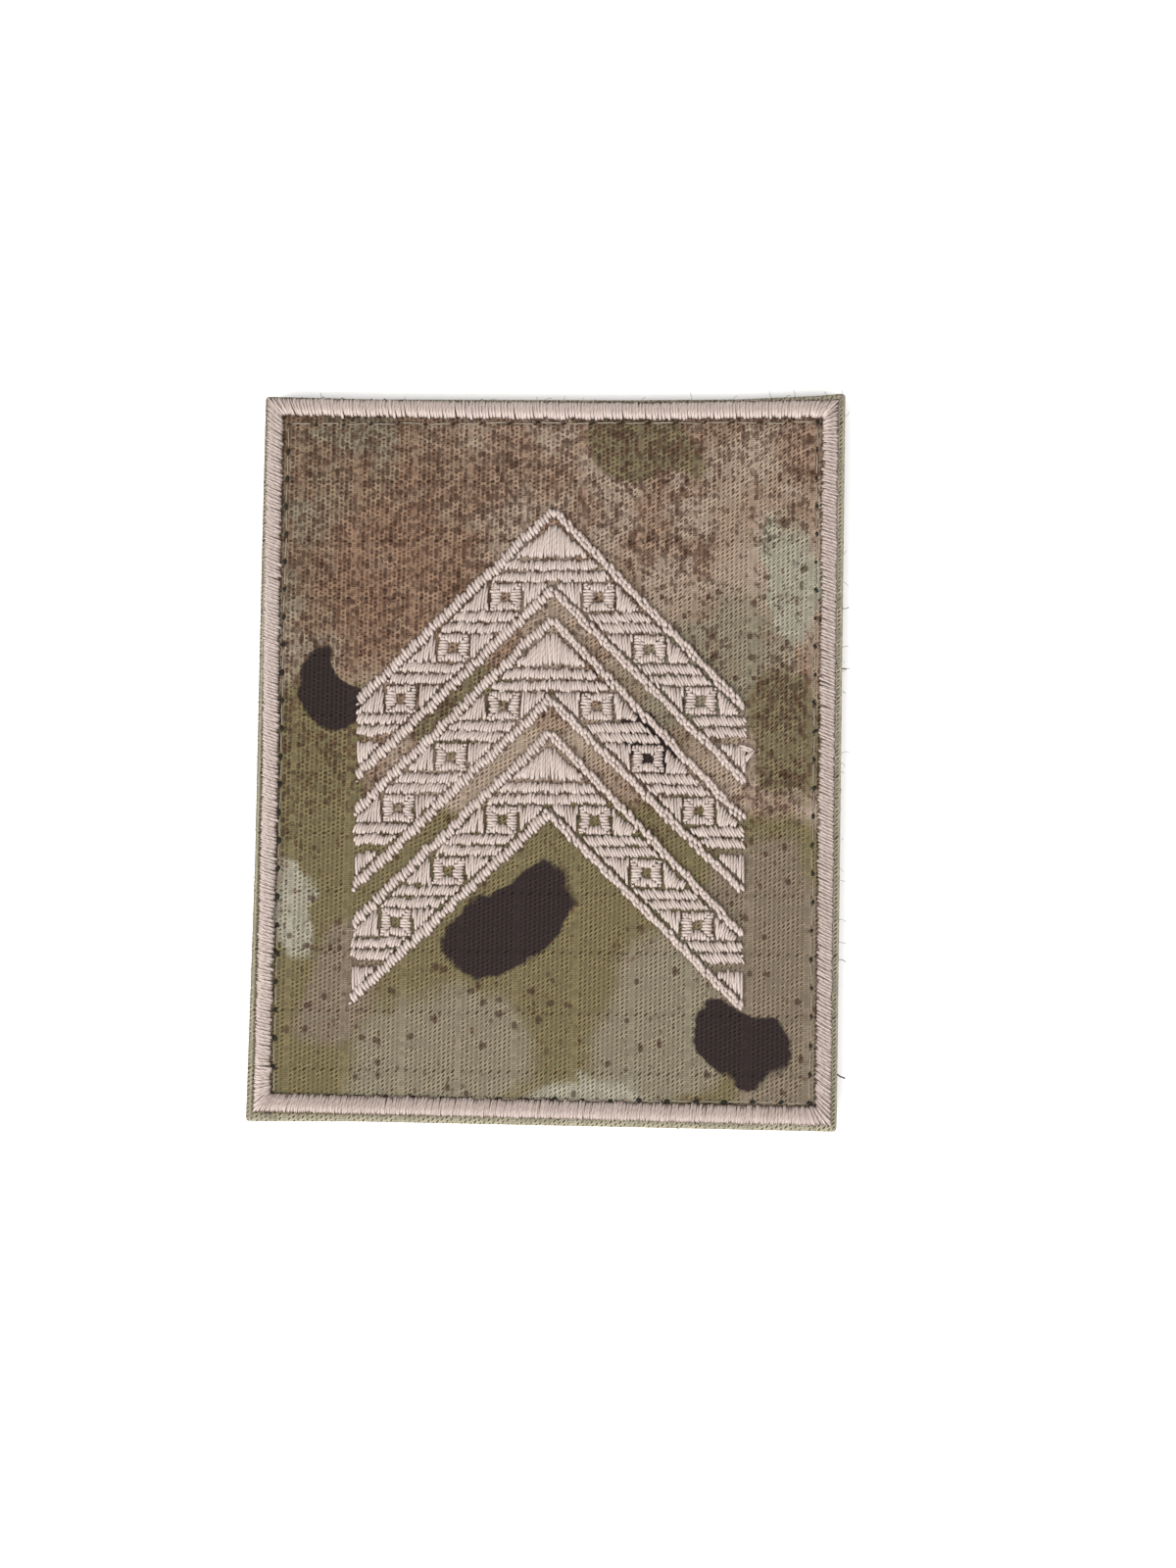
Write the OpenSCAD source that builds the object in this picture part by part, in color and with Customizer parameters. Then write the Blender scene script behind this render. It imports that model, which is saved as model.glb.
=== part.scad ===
// Rank patch: a rectangle of folded printed cloth, face up, with a raised satin border,
// three chevrons of embroidered lace and a hook tape backing.
// The patch lies flat. +Z comes out of its face, +Y points to the tips of the chevrons,
// and the origin is at the middle of the back, on the face of the hooks.

/* [Patch] */
// Width of the folded cloth
patch_w = 80; // [76:1:90]
// Height of the folded cloth
patch_h = 100; // [98:1:120]
// Thickness of the folded cloth
cloth_t = 1.2; // [1:0.1:2]
// Thickness of the hook tape with its hooks
hook_t = 1.4; // [1:0.1:2.5]
// Distance of the hook tape from the edge of the patch
hook_inset = 2.2; // [1.5:0.1:6]

/* [Border] */
// Height of the satin border above the cloth
border_rise = 0.7; // [0.4:0.1:1.2]

/* [Chevrons] */
// Distance of the chevrons' centre line to the right of the patch's middle
chevron_x = 0.5; // [-1:0.1:1]
// Height of the embroidery above the cloth
lace_rise = 0.5; // [0.3:0.1:1]
// Width of the row of short stitches along both edges of a chevron
edging_w = 1.25; // [1:0.05:1.3]
// Open cloth between the edging and the lace, measured upwards
edging_gap = 0.45; // [0.3:0.05:0.7]
// Height of a chevron at its middle, from the lower corner to the blunt tip
chevron_h = 12.2; // [12:0.1:12.6]

/* [Lace] */
// Side length of a lace square, across the patch
square_w = 4.05; // [3.6:0.05:4.2]
// Side length of a lace square, up the patch
square_h = 3.65; // [3.4:0.05:3.7]
// Width of the open middle of a square
hole_w = 1.4; // [1:0.1:1.8]
// Height of the open middle of a square
hole_h = 1.5; // [1:0.1:1.8]
// Distance from one square to the next along an arm, both across and down
lace_step = 7.05; // [7:0.05:7.1]

/* [Hidden] */

$fn = 64;

cloth_colour = [0.55, 0.5, 0.38];
thread_colour = [0.8, 0.74, 0.69];
hook_colour = [0.23, 0.25, 0.18];

// Levels of the layers above the surface that the patch lies on
cloth_z = hook_t;
face_z = hook_t + cloth_t;

// Columns: share of the half width, share of the half height, inset across, inset up.
// The folded outline, clockwise from the upper left corner: the upper edge sags.
cloth_outline = [
    [-1, 1, 0.05, 0.15],
    [-0.62, 1, 0, 0.6],
    [0.25, 1, 0, 0.85],
    [0.62, 1, 0, 0.8],
    [0.9, 1, 0, 0.35],
    [1, 1, 0, 0],
    [1, -1, 0.1, 0],
    [0.3, -1, 0, 0.15],
    [-0.62, -1, 0, 0.3],
    [-1, -1, 0, 0.1],
    [-1, -0.3, 0.3, 0],
    [-1, 0.5, 0.1, 0]
];

// Columns: the same four, then the width of the border from this row to the next.
// The middle line of the satin border, clockwise from the upper left corner.
border_line = [
    [-1, 1, 1.55, 1.65, 2.45],
    [-0.38, 1, 0, 2.15, 2.45],
    [0.3, 1, 0, 2.5, 2.45],
    [1, 1, 1.9, 2.2, 2.15],
    [1, -1, 1.85, 1.97, 2.55],
    [-0.25, -1, 0, 2.4, 2.55],
    [-1, -1, 2.2, 2.62, 2.3],
    [-1, -0.1, 2.2, 0, 2.3],
    [-1, 0.44, 1.72, 0, 2.3]
];

// Columns: side of the patch, length across, fall of the outer edge, fall of the lower
// edge, and how much lower the squares sit on this arm. Falls are per millimetre across.
arms = [
    [-1, 26.4, 1, 0.97, 0],
    [1, 26.6, 1.025, 0.977, 0.05]
];

// Rows of the tip of the lace, measured down from a chevron's blunt tip: from, to
cap_row = [2.5, 6.6];
top_bars = [[7.3, 8.35], [8.95, 10]];
// Rows of one repeat along an arm, measured down from the top of its square
arm_bars = [[4.1, 5.15], [5.6, 6.65]];
first_square_down = 10.4;
first_square_across = 4.35;
square_gap = 0.4;
repeats = [0, 1, 2];
// Top of the last corner of lace, at the end of an arm
end_corner_down = 32.4;

tip_half = 0.6;
cap_half = 0.6;
// Angles of the rounded edge of the cloth, from its back to its face
fold_angles = [-90, -60, -30, 0, 30, 60, 90];
// Columns: share of the half width outwards, share of the rise. Section of the border.
dome_section = [
    [1, 0],
    [1, 0.25],
    [0.8, 0.6],
    [0.45, 0.9],
    [0, 1],
    [-0.45, 0.9],
    [-0.8, 0.6],
    [-1, 0.25],
    [-1, 0]
];
// How much wider than its run the arc of a run of edging is, so its sides stand up a little
dome_play = 0.3;
// Length by which a cutting shape passes what it cuts
reach_out = 1;

top_tip_y = 34.1;
middle_tip_y = 19.1;
bottom_tip_y = 3.6;

// Point of a table row on the patch
function place(row) = [
    row[0] * patch_w / 2 - sign(row[0]) * row[2],
    row[1] * patch_h / 2 - sign(row[1]) * row[3]
];

// Unit direction from one point to the next, and the normal on its left, which points
// out of the patch on a clockwise path
function heading(a, b) = (b - a) / norm(b - a);
function outward(a, b) = [-heading(a, b).y, heading(a, b).x];
function cross2(a, b) = a.x * b.y - a.y * b.x;

function prev(i, n) = (i + n - 1) % n;
function next(i, n) = (i + 1) % n;

// Corner where the offsets of two neighbouring runs of a closed path cross.
// off_before and off_after are the distances outward of the runs before and after it.
function mitre(path, i, off_before, off_after) =
    let (n = len(path))
    let (a = path[prev(i, n)])
    let (b = path[i])
    let (c = path[next(i, n)])
    let (start = b + off_before * outward(a, b))
    let (target = b + off_after * outward(b, c))
    let (run = heading(a, b))
    start + run * cross2(target - start, heading(b, c)) / cross2(run, heading(b, c));

// Radius of an arc from its chord and its rise
function arc_radius(chord, rise) = (chord * chord / 4 + rise * rise) / (2 * rise);

// A round bar between two points of the plane, lying at height z
module lying_bar(a, b, radius, z) {
    translate([a.x, a.y, z])
        rotate([0, 0, atan2(b.y - a.y, b.x - a.x)])
            rotate([0, 90, 0])
                translate([0, 0, -reach_out * 3])
                    cylinder(h = norm(b - a) + reach_out * 6, r = radius);
}

// One run of domed satin: a round bar cut by the outline of the run, above level z
module satin_run(outline, a, b, width, rise, z) {
    radius = arc_radius(width + dome_play, rise);
    intersection() {
        lying_bar(a, b, radius, z + rise - radius);
        translate([0, 0, z])
            linear_extrude(height = rise + reach_out)
                polygon(outline);
    }
}

// Hook tape sewn to the back
module hook_backing() {
    color(hook_colour)
        translate([-patch_w / 2 + hook_inset, -patch_h / 2 + hook_inset, 0])
            cube([patch_w - 2 * hook_inset, patch_h - 2 * hook_inset, hook_t]);
}

// Folded cloth: a flat sheet whose edges are turned round. Its surface runs through one
// ring of outline points for each angle of the rounded edge, from the back to the face.
module cloth_panel() {
    path = [for (row = cloth_outline) place(row)];
    n = len(path);
    fold_r = cloth_t / 2;
    rings = [
        for (angle = fold_angles)
            for (i = [0 : n - 1])
                let (inset = fold_r * (1 - cos(angle)))
                let (p = mitre(path, i, -inset, -inset))
                [p.x, p.y, cloth_z + fold_r * (1 + sin(angle))]
    ];
    last = len(fold_angles) - 1;
    back_middle = len(rings);
    front_middle = back_middle + 1;
    middles = [[0, 0, cloth_z], [0, 0, face_z]];
    back_faces = [for (i = [0 : n - 1]) [back_middle, next(i, n), i]];
    front_faces = [for (i = [0 : n - 1]) [front_middle, last * n + i, last * n + next(i, n)]];
    edge_faces = [
        for (k = [0 : last - 1])
            for (i = [0 : n - 1])
                [k * n + i, k * n + next(i, n), (k + 1) * n + next(i, n), (k + 1) * n + i]
    ];
    color(cloth_colour)
        polyhedron(
            points = concat(rings, middles),
            faces = concat(back_faces, front_faces, edge_faces)
        );
}

// Satin border: a domed section carried round the border's line, mitred at each row
module border() {
    path = [for (row = border_line) place(row)];
    half = [for (row = border_line) row[4] / 2];
    n = len(path);
    m = len(dome_section);
    points = [
        for (i = [0 : n - 1])
            for (part = dome_section)
                let (p = mitre(path, i, part[0] * half[prev(i, n)], part[0] * half[i]))
                [p.x, p.y, face_z + part[1] * border_rise]
    ];
    faces = [
        for (i = [0 : n - 1])
            for (k = [0 : m - 1])
                [i * m + k, next(i, n) * m + k, next(i, n) * m + next(k, m), i * m + next(k, m)]
    ];
    color(thread_colour)
        polyhedron(points = points, faces = faces);
}

// Edges of a chevron's arm, as the height at a distance across from the centre line
function outer_y(tip_y, arm, across) = tip_y + tip_half - arm[2] * across;
function lower_y(tip_y, arm, across) = tip_y - chevron_h - arm[3] * across;

// Height of the edging on an edge that falls by fall per millimetre, measured upwards
function edging_up(fall) = edging_w * sqrt(1 + fall * fall);

// Lines that the lace stays inside, as the distance across at a height
function lace_outer(tip_y, arm, y) =
    (outer_y(tip_y, arm, 0) - edging_up(arm[2]) - edging_gap - y) / arm[2];
function lace_lower(tip_y, arm, y) =
    (lower_y(tip_y, arm, 0) + edging_up(arm[3]) + edging_gap - y) / arm[3];

// Point on an arm, from its distance across and its height
function arm_point(arm, across, y) = [chevron_x + arm[0] * across, y];

// A V of short stitches along one edge of a chevron
module edging_arm(arm, high_y, fall, tip_y) {
    up = edging_up(fall);
    end_y = high_y - fall * arm[1];
    blunt = [arm_point(arm, 0, tip_y), arm_point(arm, (high_y - tip_y) / fall, tip_y)];
    tip = high_y > tip_y ? blunt : [arm_point(arm, 0, high_y)];
    outline = concat(tip, [
        arm_point(arm, arm[1], end_y),
        arm_point(arm, arm[1], end_y - up),
        arm_point(arm, 0, high_y - up)
    ]);
    start = arm_point(arm, 0, high_y - up / 2);
    end = arm_point(arm, arm[1], end_y - up / 2);
    satin_run(outline, start, end, edging_w, lace_rise, face_z);
}

module chevron_edging(tip_y) {
    color(thread_colour)
        union() {
            for (arm = arms) {
                edging_arm(arm, outer_y(tip_y, arm, 0), arm[2], tip_y);
            }
            for (arm = arms) {
                low = lower_y(tip_y, arm, 0) + edging_up(arm[3]);
                edging_arm(arm, low, arm[3], low);
            }
        }
}

// A flat pad of satin stitches
module pad(points) {
    translate([0, 0, face_z])
        linear_extrude(height = lace_rise)
            polygon(points);
}

// Bar across both arms, above the inner corner of the chevron
module wide_bar(tip_y, row) {
    high = tip_y - row[0];
    low = tip_y - row[1];
    left = arms[0];
    right = arms[1];
    pad([
        arm_point(left, lace_outer(tip_y, left, high), high),
        arm_point(right, lace_outer(tip_y, right, high), high),
        arm_point(right, lace_outer(tip_y, right, low), low),
        arm_point(left, lace_outer(tip_y, left, low), low)
    ]);
}

// Slanting bar across one arm, cut off at the arm's end
module arm_bar(tip_y, arm, high, low) {
    pad([
        arm_point(arm, lace_lower(tip_y, arm, high), high),
        arm_point(arm, min(lace_outer(tip_y, arm, high), arm[1]), high),
        arm_point(arm, min(lace_outer(tip_y, arm, low), arm[1]), low),
        arm_point(arm, lace_lower(tip_y, arm, low), low)
    ]);
}

// Square with an open middle, at a distance across and with its top at a height
module lace_square(arm, across, high) {
    low = high - square_h;
    mid_x = across + square_w / 2;
    mid_y = high - square_h / 2;
    translate([0, 0, face_z])
        linear_extrude(height = lace_rise)
            difference() {
                polygon([
                    arm_point(arm, across, high),
                    arm_point(arm, across + square_w, high),
                    arm_point(arm, across + square_w, low),
                    arm_point(arm, across, low)
                ]);
                polygon([
                    arm_point(arm, mid_x - hole_w / 2, mid_y + hole_h / 2),
                    arm_point(arm, mid_x + hole_w / 2, mid_y + hole_h / 2),
                    arm_point(arm, mid_x + hole_w / 2, mid_y - hole_h / 2),
                    arm_point(arm, mid_x - hole_w / 2, mid_y - hole_h / 2)
                ]);
            }
}

// Wedge between a square and the outer edging
module outer_wedge(tip_y, arm, across, low) {
    edge_high = outer_y(tip_y, arm, across) - edging_up(arm[2]) - edging_gap;
    end_high = outer_y(tip_y, arm, arm[1]) - edging_up(arm[2]) - edging_gap;
    foot = lace_outer(tip_y, arm, low);
    tail = foot > arm[1]
        ? [arm_point(arm, arm[1], end_high), arm_point(arm, arm[1], low)]
        : [arm_point(arm, foot, low)];
    pad(concat([arm_point(arm, across, low), arm_point(arm, across, edge_high)], tail));
}

// Leaf between a square and the lower edging
module inner_leaf(tip_y, arm, across, high) {
    edge_low = lower_y(tip_y, arm, across) + edging_up(arm[3]) + edging_gap;
    pad([
        arm_point(arm, across, high),
        arm_point(arm, across, edge_low),
        arm_point(arm, lace_lower(tip_y, arm, high), high)
    ]);
}

// Last corner of lace at the end of an arm
module end_corner(tip_y, arm) {
    high = tip_y - end_corner_down - arm[4];
    end_low = lower_y(tip_y, arm, arm[1]) + edging_up(arm[3]) + edging_gap;
    pad([
        arm_point(arm, lace_lower(tip_y, arm, high), high),
        arm_point(arm, arm[1], high),
        arm_point(arm, arm[1], end_low)
    ]);
}

// Blunt triangle at the tip
module tip_cap(tip_y) {
    high = tip_y - cap_row[0];
    low = tip_y - cap_row[1];
    pad([
        [chevron_x - cap_half, high],
        [chevron_x + cap_half, high],
        arm_point(arms[1], lace_outer(tip_y, arms[1], low), low),
        arm_point(arms[0], lace_outer(tip_y, arms[0], low), low)
    ]);
}

module chevron_lace(tip_y) {
    color(thread_colour)
        union() {
            tip_cap(tip_y);
            for (row = top_bars) wide_bar(tip_y, row);
            for (arm = arms) {
                for (k = repeats) {
                    high = tip_y - first_square_down - k * lace_step - arm[4];
                    across = first_square_across + k * lace_step;
                    lace_square(arm, across, high);
                    outer_wedge(tip_y, arm, across + square_w + square_gap, high - square_h);
                    inner_leaf(tip_y, arm, across - square_gap, high);
                    for (row = arm_bars) arm_bar(tip_y, arm, high - row[0], high - row[1]);
                }
                end_corner(tip_y, arm);
            }
        }
}

module chevron_top_edging() {
    chevron_edging(top_tip_y);
}

module chevron_top_lace() {
    chevron_lace(top_tip_y);
}

module chevron_middle_edging() {
    chevron_edging(middle_tip_y);
}

module chevron_middle_lace() {
    chevron_lace(middle_tip_y);
}

module chevron_bottom_edging() {
    chevron_edging(bottom_tip_y);
}

module chevron_bottom_lace() {
    chevron_lace(bottom_tip_y);
}

hook_backing();
cloth_panel();
border();
chevron_top_edging();
chevron_top_lace();
chevron_middle_edging();
chevron_middle_lace();
chevron_bottom_edging();
chevron_bottom_lace();
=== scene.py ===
# %% [markdown]
# # A rank patch, sewn stitch by stitch
# The patch is a rectangle of printed ripstop cloth with a satin border, three chevrons of
# embroidered lace and a hook tape on its back. Its plain solids come in as a frame that says
# where each piece lies. The lesson then makes each soft piece again as what it is: cloth,
# thread or tape. Sizes are written in millimetres, and every mesh is scaled to metres once.

# %% Load the frame
import math
import random

import bmesh
import bpy
import numpy as np
from mathutils import Matrix, Vector


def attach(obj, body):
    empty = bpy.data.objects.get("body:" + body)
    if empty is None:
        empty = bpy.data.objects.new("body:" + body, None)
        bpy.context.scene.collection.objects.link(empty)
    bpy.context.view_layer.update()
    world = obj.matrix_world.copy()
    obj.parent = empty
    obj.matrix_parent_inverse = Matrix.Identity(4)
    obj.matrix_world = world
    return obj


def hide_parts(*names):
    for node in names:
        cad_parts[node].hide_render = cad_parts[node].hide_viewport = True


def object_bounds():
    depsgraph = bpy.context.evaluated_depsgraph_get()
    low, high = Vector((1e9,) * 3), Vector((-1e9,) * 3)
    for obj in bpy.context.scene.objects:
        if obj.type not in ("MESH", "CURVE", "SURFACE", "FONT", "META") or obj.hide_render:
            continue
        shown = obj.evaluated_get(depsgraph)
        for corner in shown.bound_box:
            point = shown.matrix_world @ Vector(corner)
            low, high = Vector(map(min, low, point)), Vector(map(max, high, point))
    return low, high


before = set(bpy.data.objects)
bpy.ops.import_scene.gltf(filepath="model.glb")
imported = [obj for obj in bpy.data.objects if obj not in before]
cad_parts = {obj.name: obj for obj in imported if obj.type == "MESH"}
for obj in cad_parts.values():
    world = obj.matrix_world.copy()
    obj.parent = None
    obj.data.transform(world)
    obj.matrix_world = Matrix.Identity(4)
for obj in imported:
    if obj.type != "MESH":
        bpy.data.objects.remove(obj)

cad_low, cad_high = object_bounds()
MM = 0.001


def put_in_scene(name, data):
    """An object for a camera, a lamp or a mesh."""
    holder = bpy.data.objects.new(name, data)
    bpy.context.collection.objects.link(holder)
    return holder


def finish_piece(name, shape, material):
    """Turns a bmesh into a piece with one material."""
    mesh = bpy.data.meshes.new(name)
    shape.to_mesh(mesh)
    shape.free()
    mesh.materials.append(material)
    return put_in_scene(name, mesh)


print("frame holds", len(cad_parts), "solids")

# %% [markdown]
# ## Camera
# The photograph looks almost straight down, from a little to the lower right, and the picture
# is turned by about one degree. A camera can be aimed by angles or by two points. Two points
# are used here, because both can be measured on the patch: the lens, and what it looks at.

# %% Aim the camera
LENS_PLACE = Vector((57.5, -55.55, 497.95))
LENS_AIM = Vector((5.57, -3.44, 0))
PICTURE_TURN = math.radians(1.03)
FOCAL_LENGTH = 85
SENSOR = 36
# The nearest thing that the camera shows, in metres
NEAREST = 0.01


def aim_camera(place, aim, turn):
    """Puts a camera at place, looks at aim, and turns the picture about the line of sight."""
    camera = bpy.data.cameras.new("camera")
    camera.lens = FOCAL_LENGTH
    camera.sensor_width = SENSOR
    camera.clip_start = NEAREST
    holder = put_in_scene("camera", camera)
    ahead = (aim - place).normalized()
    level = ahead.cross(Vector((0, 1, 0))).normalized()
    above = level.cross(ahead)
    right = math.cos(turn) * level + math.sin(turn) * above
    up = math.cos(turn) * above - math.sin(turn) * level
    pose = Matrix((right, up, -ahead)).transposed().to_4x4()
    pose.translation = place * MM
    holder.matrix_world = pose
    return holder


bpy.context.scene.camera = aim_camera(LENS_PLACE, LENS_AIM, PICTURE_TURN)
print("camera is", round((LENS_PLACE - LENS_AIM).length), "mm from the patch")

# %% [markdown]
# ## Floor and light
# The photograph has a white ground and soft light with a weak key from the lower left. Thread
# shows its shape only by small highlights, so the key is a large lamp that still has a side:
# low enough to draw each stitch, wide enough to keep the shadows soft. A pale world fills in.

# %% Lay the floor and hang the lamps
# Floor and lamps are measured in metres, and power in watts
FLOOR_SIZE = 4.0
FLOOR_COLOUR = (0.93, 0.93, 0.925, 1)
FLOOR_ROUGHNESS = 0.9
WORLD_COLOUR = (1.0, 0.985, 0.97, 1)
WORLD_STRENGTH = 0.97
LAMPS = {
    "key": {"place": (-0.75, -0.85, 0.75), "size": 1.1, "power": 38},
    "fill": {"place": (0.95, -0.4, 0.8), "size": 0.8, "power": 10},
}


def hang_lamp(name, place, size, power):
    """A square soft lamp that faces the patch."""
    lamp = bpy.data.lights.new(name, "AREA")
    lamp.size = size
    lamp.energy = power
    holder = put_in_scene(name, lamp)
    holder.location = place
    holder.rotation_euler = Vector(place).to_track_quat("Z", "Y").to_euler()
    return holder


def lay_floor():
    """A flat square of pale paper under the patch."""
    shape = bmesh.new()
    bmesh.ops.create_grid(shape, x_segments=1, y_segments=1, size=FLOOR_SIZE / 2)
    paper = bpy.data.materials.new("floor_paper")
    paper.use_nodes = True
    surface = paper.node_tree.nodes["Principled BSDF"]
    surface.inputs["Base Color"].default_value = FLOOR_COLOUR
    surface.inputs["Roughness"].default_value = FLOOR_ROUGHNESS
    floor = finish_piece("floor", shape, paper)
    return floor


lay_floor()
for lamp_name, lamp_values in LAMPS.items():
    hang_lamp(lamp_name, **lamp_values)
world = bpy.data.worlds.new("studio")
world.use_nodes = True
world.node_tree.nodes["Background"].inputs["Color"].default_value = WORLD_COLOUR
world.node_tree.nodes["Background"].inputs["Strength"].default_value = WORLD_STRENGTH
bpy.context.scene.world = world
bpy.context.scene.view_settings.view_transform = "Standard"
print("lamps:", ", ".join(LAMPS))

# %% [markdown]
# ## A bench for shader nodes
# A material is a small graph. Written one node at a time it is hard to read, so a bench adds
# nodes and joins them: each call takes plain values or the outputs of earlier calls. An effect
# that several materials share becomes a group with named inputs and outputs.

# %% Build the bench
SOCKET_KINDS = {
    "vector": "NodeSocketVector",
    "value": "NodeSocketFloat",
    "colour": "NodeSocketColor",
}


class Bench:
    """Adds shader nodes to one tree and joins their sockets."""

    def __init__(self, tree):
        self.tree = tree

    def plug(self, value, socket):
        """Links an output to the socket, or sets the socket to a plain value."""
        if isinstance(value, bpy.types.NodeSocket):
            self.tree.links.new(value, socket)
        else:
            socket.default_value = value

    def node(self, kind, sockets=None, **settings):
        made = self.tree.nodes.new(kind)
        for name, value in settings.items():
            setattr(made, name, value)
        for name, value in (sockets or {}).items():
            self.plug(value, made.inputs[name])
        return made

    def math(self, operation, *values):
        made = self.node("ShaderNodeMath", operation=operation)
        for value, socket in zip(values, made.inputs):
            self.plug(value, socket)
        return made.outputs[0]

    def plus(self, first, second):
        return self.math("ADD", first, second)

    def minus(self, first, second):
        return self.math("SUBTRACT", first, second)

    def times(self, first, second):
        return self.math("MULTIPLY", first, second)

    def over(self, first, second):
        return self.math("DIVIDE", first, second)

    def vector(self, operation, *values):
        made = self.node("ShaderNodeVectorMath", operation=operation)
        for value, socket in zip(values, made.inputs):
            self.plug(value, socket)
        return made.outputs["Value" if operation == "LENGTH" else "Vector"]

    def scaled(self, vector, scale):
        made = self.node("ShaderNodeVectorMath", operation="SCALE")
        self.plug(vector, made.inputs[0])
        self.plug(scale, made.inputs["Scale"])
        return made.outputs["Vector"]

    def split(self, vector):
        made = self.node("ShaderNodeSeparateXYZ", {"Vector": vector})
        return made.outputs["X"], made.outputs["Y"], made.outputs["Z"]

    def joined(self, x, y, z=0.0):
        return self.node("ShaderNodeCombineXYZ", {"X": x, "Y": y, "Z": z}).outputs["Vector"]

    def step(self, value, low, high, to_low=0.0, to_high=1.0):
        """A smooth step from to_low at low to to_high at high."""
        made = self.node("ShaderNodeMapRange", interpolation_type="SMOOTHSTEP")
        for name, number in zip(
            ("Value", "From Min", "From Max", "To Min", "To Max"),
            (value, low, high, to_low, to_high),
        ):
            self.plug(number, made.inputs[name])
        return made.outputs["Result"]

    def noise(self, vector, scale, detail=2.0, roughness=0.5, output="Factor"):
        made = self.node("ShaderNodeTexNoise", {"Vector": vector, "Scale": scale})
        made.inputs["Detail"].default_value = detail
        made.inputs["Roughness"].default_value = roughness
        return made.outputs["Fac" if output == "Factor" else "Color"]

    def mixed(self, share, first, second, how="MIX"):
        made = self.node("ShaderNodeMix", data_type="RGBA", blend_type=how)
        self.plug(share, made.inputs["Factor"])
        self.plug(first, made.inputs[6])
        self.plug(second, made.inputs[7])
        return made.outputs[2]

    def grouped(self, group, **sockets):
        """Places a shared group. Underscores in the names stand for spaces."""
        made = self.node("ShaderNodeGroup", node_tree=group)
        for name, value in sockets.items():
            self.plug(value, made.inputs[name.replace("_", " ")])
        return made.outputs


# %% Start a group or a material
def shared_group(name, inputs, outputs):
    """A new node group with its bench, and the sockets that come in and go out."""
    group = bpy.data.node_groups.new(name, "ShaderNodeTree")
    for title, kind in inputs.items():
        group.interface.new_socket(title, in_out="INPUT", socket_type=SOCKET_KINDS[kind])
    for title, kind in outputs.items():
        group.interface.new_socket(title, in_out="OUTPUT", socket_type=SOCKET_KINDS[kind])
    bench = Bench(group)
    start = bench.node("NodeGroupInput")
    end = bench.node("NodeGroupOutput")
    return group, bench, start.outputs, end.inputs


def colour(red, green, blue):
    """A colour as it looks on a screen, 0 to 255, turned into the light it stands for."""
    return tuple(((part / 255 + 0.055) / 1.055) ** 2.4 for part in (red, green, blue)) + (1,)


def new_material(name, roughness, shine=0.5):
    """A material with a Principled surface, a bench, and place on the patch in millimetres."""
    material = bpy.data.materials.new(name)
    material.use_nodes = True
    bench = Bench(material.node_tree)
    surface = material.node_tree.nodes["Principled BSDF"]
    surface.inputs["Roughness"].default_value = roughness
    surface.inputs["Specular IOR Level"].default_value = shine
    here = bench.node("ShaderNodeTexCoord").outputs["Object"]
    return material, bench, surface, bench.scaled(here, 1 / MM)


def raise_surface(bench, surface, height, depth):
    """Feeds a height from 0 to 1 to the surface as bump, depth millimetres deep."""
    bump = bench.node("ShaderNodeBump", {"Height": height, "Distance": depth * MM})
    bump.inputs["Strength"].default_value = 1.0
    bench.plug(bump.outputs["Normal"], surface.inputs["Normal"])


# %% [markdown]
# ## Weave
# The cloth is a plain weave in which upright yarns stand out as ridges. Between two ridges the
# level yarns leave a furrow with a row of dips, and the dips of the next furrow stand half a
# step higher. The twist of the yarn draws strokes from furrow to furrow. Stronger yarns run
# through at even distances both ways: that grid is the ripstop. All of this is far too fine
# for a mesh, so it is worked out from the place on the cloth, as height and as painted light:
# painted shade in the furrows and dips, and painted highlights on the strokes.

# %% Draw one dip
YARN_PITCH = 0.633
DIP_PITCH = 0.588
# The weave looks different at the upper left and at the lower right of the patch, so each of
# these pairs holds a value for either end: half length, half width and slant of a dip, and shade
# of a furrow next to that of a dip
DIP_HALF_LENGTH = (0.23, 0.3)
DIP_HALF_WIDTH = (0.15, 0.13)
DIP_SLANT = (math.radians(8), math.radians(46))
FURROW_SHADE = (0.32, 0.08)
# Where the dips and the furrows start and stop to change on the way to the lower right, measured
# in millimetres to the right less this share of those upwards
DIPS_CHANGE = (-45.0, 10.0)
FURROWS_CHANGE = (-40.0, 10.0)
WAY_DOWN = 0.6
# How much larger and how much darker the dips are along a strong level yarn
ROW_SWELL = 0.2
ROW_SHADE = 0.9
# Where the shade of a dip fades out and where it is full, as shares of its half sizes
DIP_FADE = (1.35, 0.45)


def slanted_spot(bench, dx, dy, slant, half_length, half_width):
    """A soft ellipse round the origin whose long axis is turned by slant, in radians."""
    cosine, sine = bench.math("COSINE", slant), bench.math("SINE", slant)
    ahead = bench.plus(bench.times(dx, cosine), bench.times(dy, sine))
    aside = bench.minus(bench.times(dy, cosine), bench.times(dx, sine))
    reach = bench.joined(
        bench.over(ahead, half_length), bench.over(aside, half_width),
    )
    return bench.step(bench.vector("LENGTH", reach), *DIP_FADE)


def draw_dip(bench, lean, row, dx, dy):
    """Shade of the dip whose middle lies dx and dy away. row is 1 on a strong level yarn."""
    swell = bench.plus(bench.times(row, ROW_SWELL), 1.0)
    half_length = bench.times(bench.step(lean, *DIPS_CHANGE, *DIP_HALF_LENGTH), swell)
    half_width = bench.times(bench.step(lean, *DIPS_CHANGE, *DIP_HALF_WIDTH), swell)
    slant = bench.step(lean, *DIPS_CHANGE, *DIP_SLANT)
    dip = slanted_spot(bench, dx, dy, slant, half_length, half_width)
    return bench.times(dip, bench.plus(bench.times(row, ROW_SHADE), 1.0))


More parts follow.
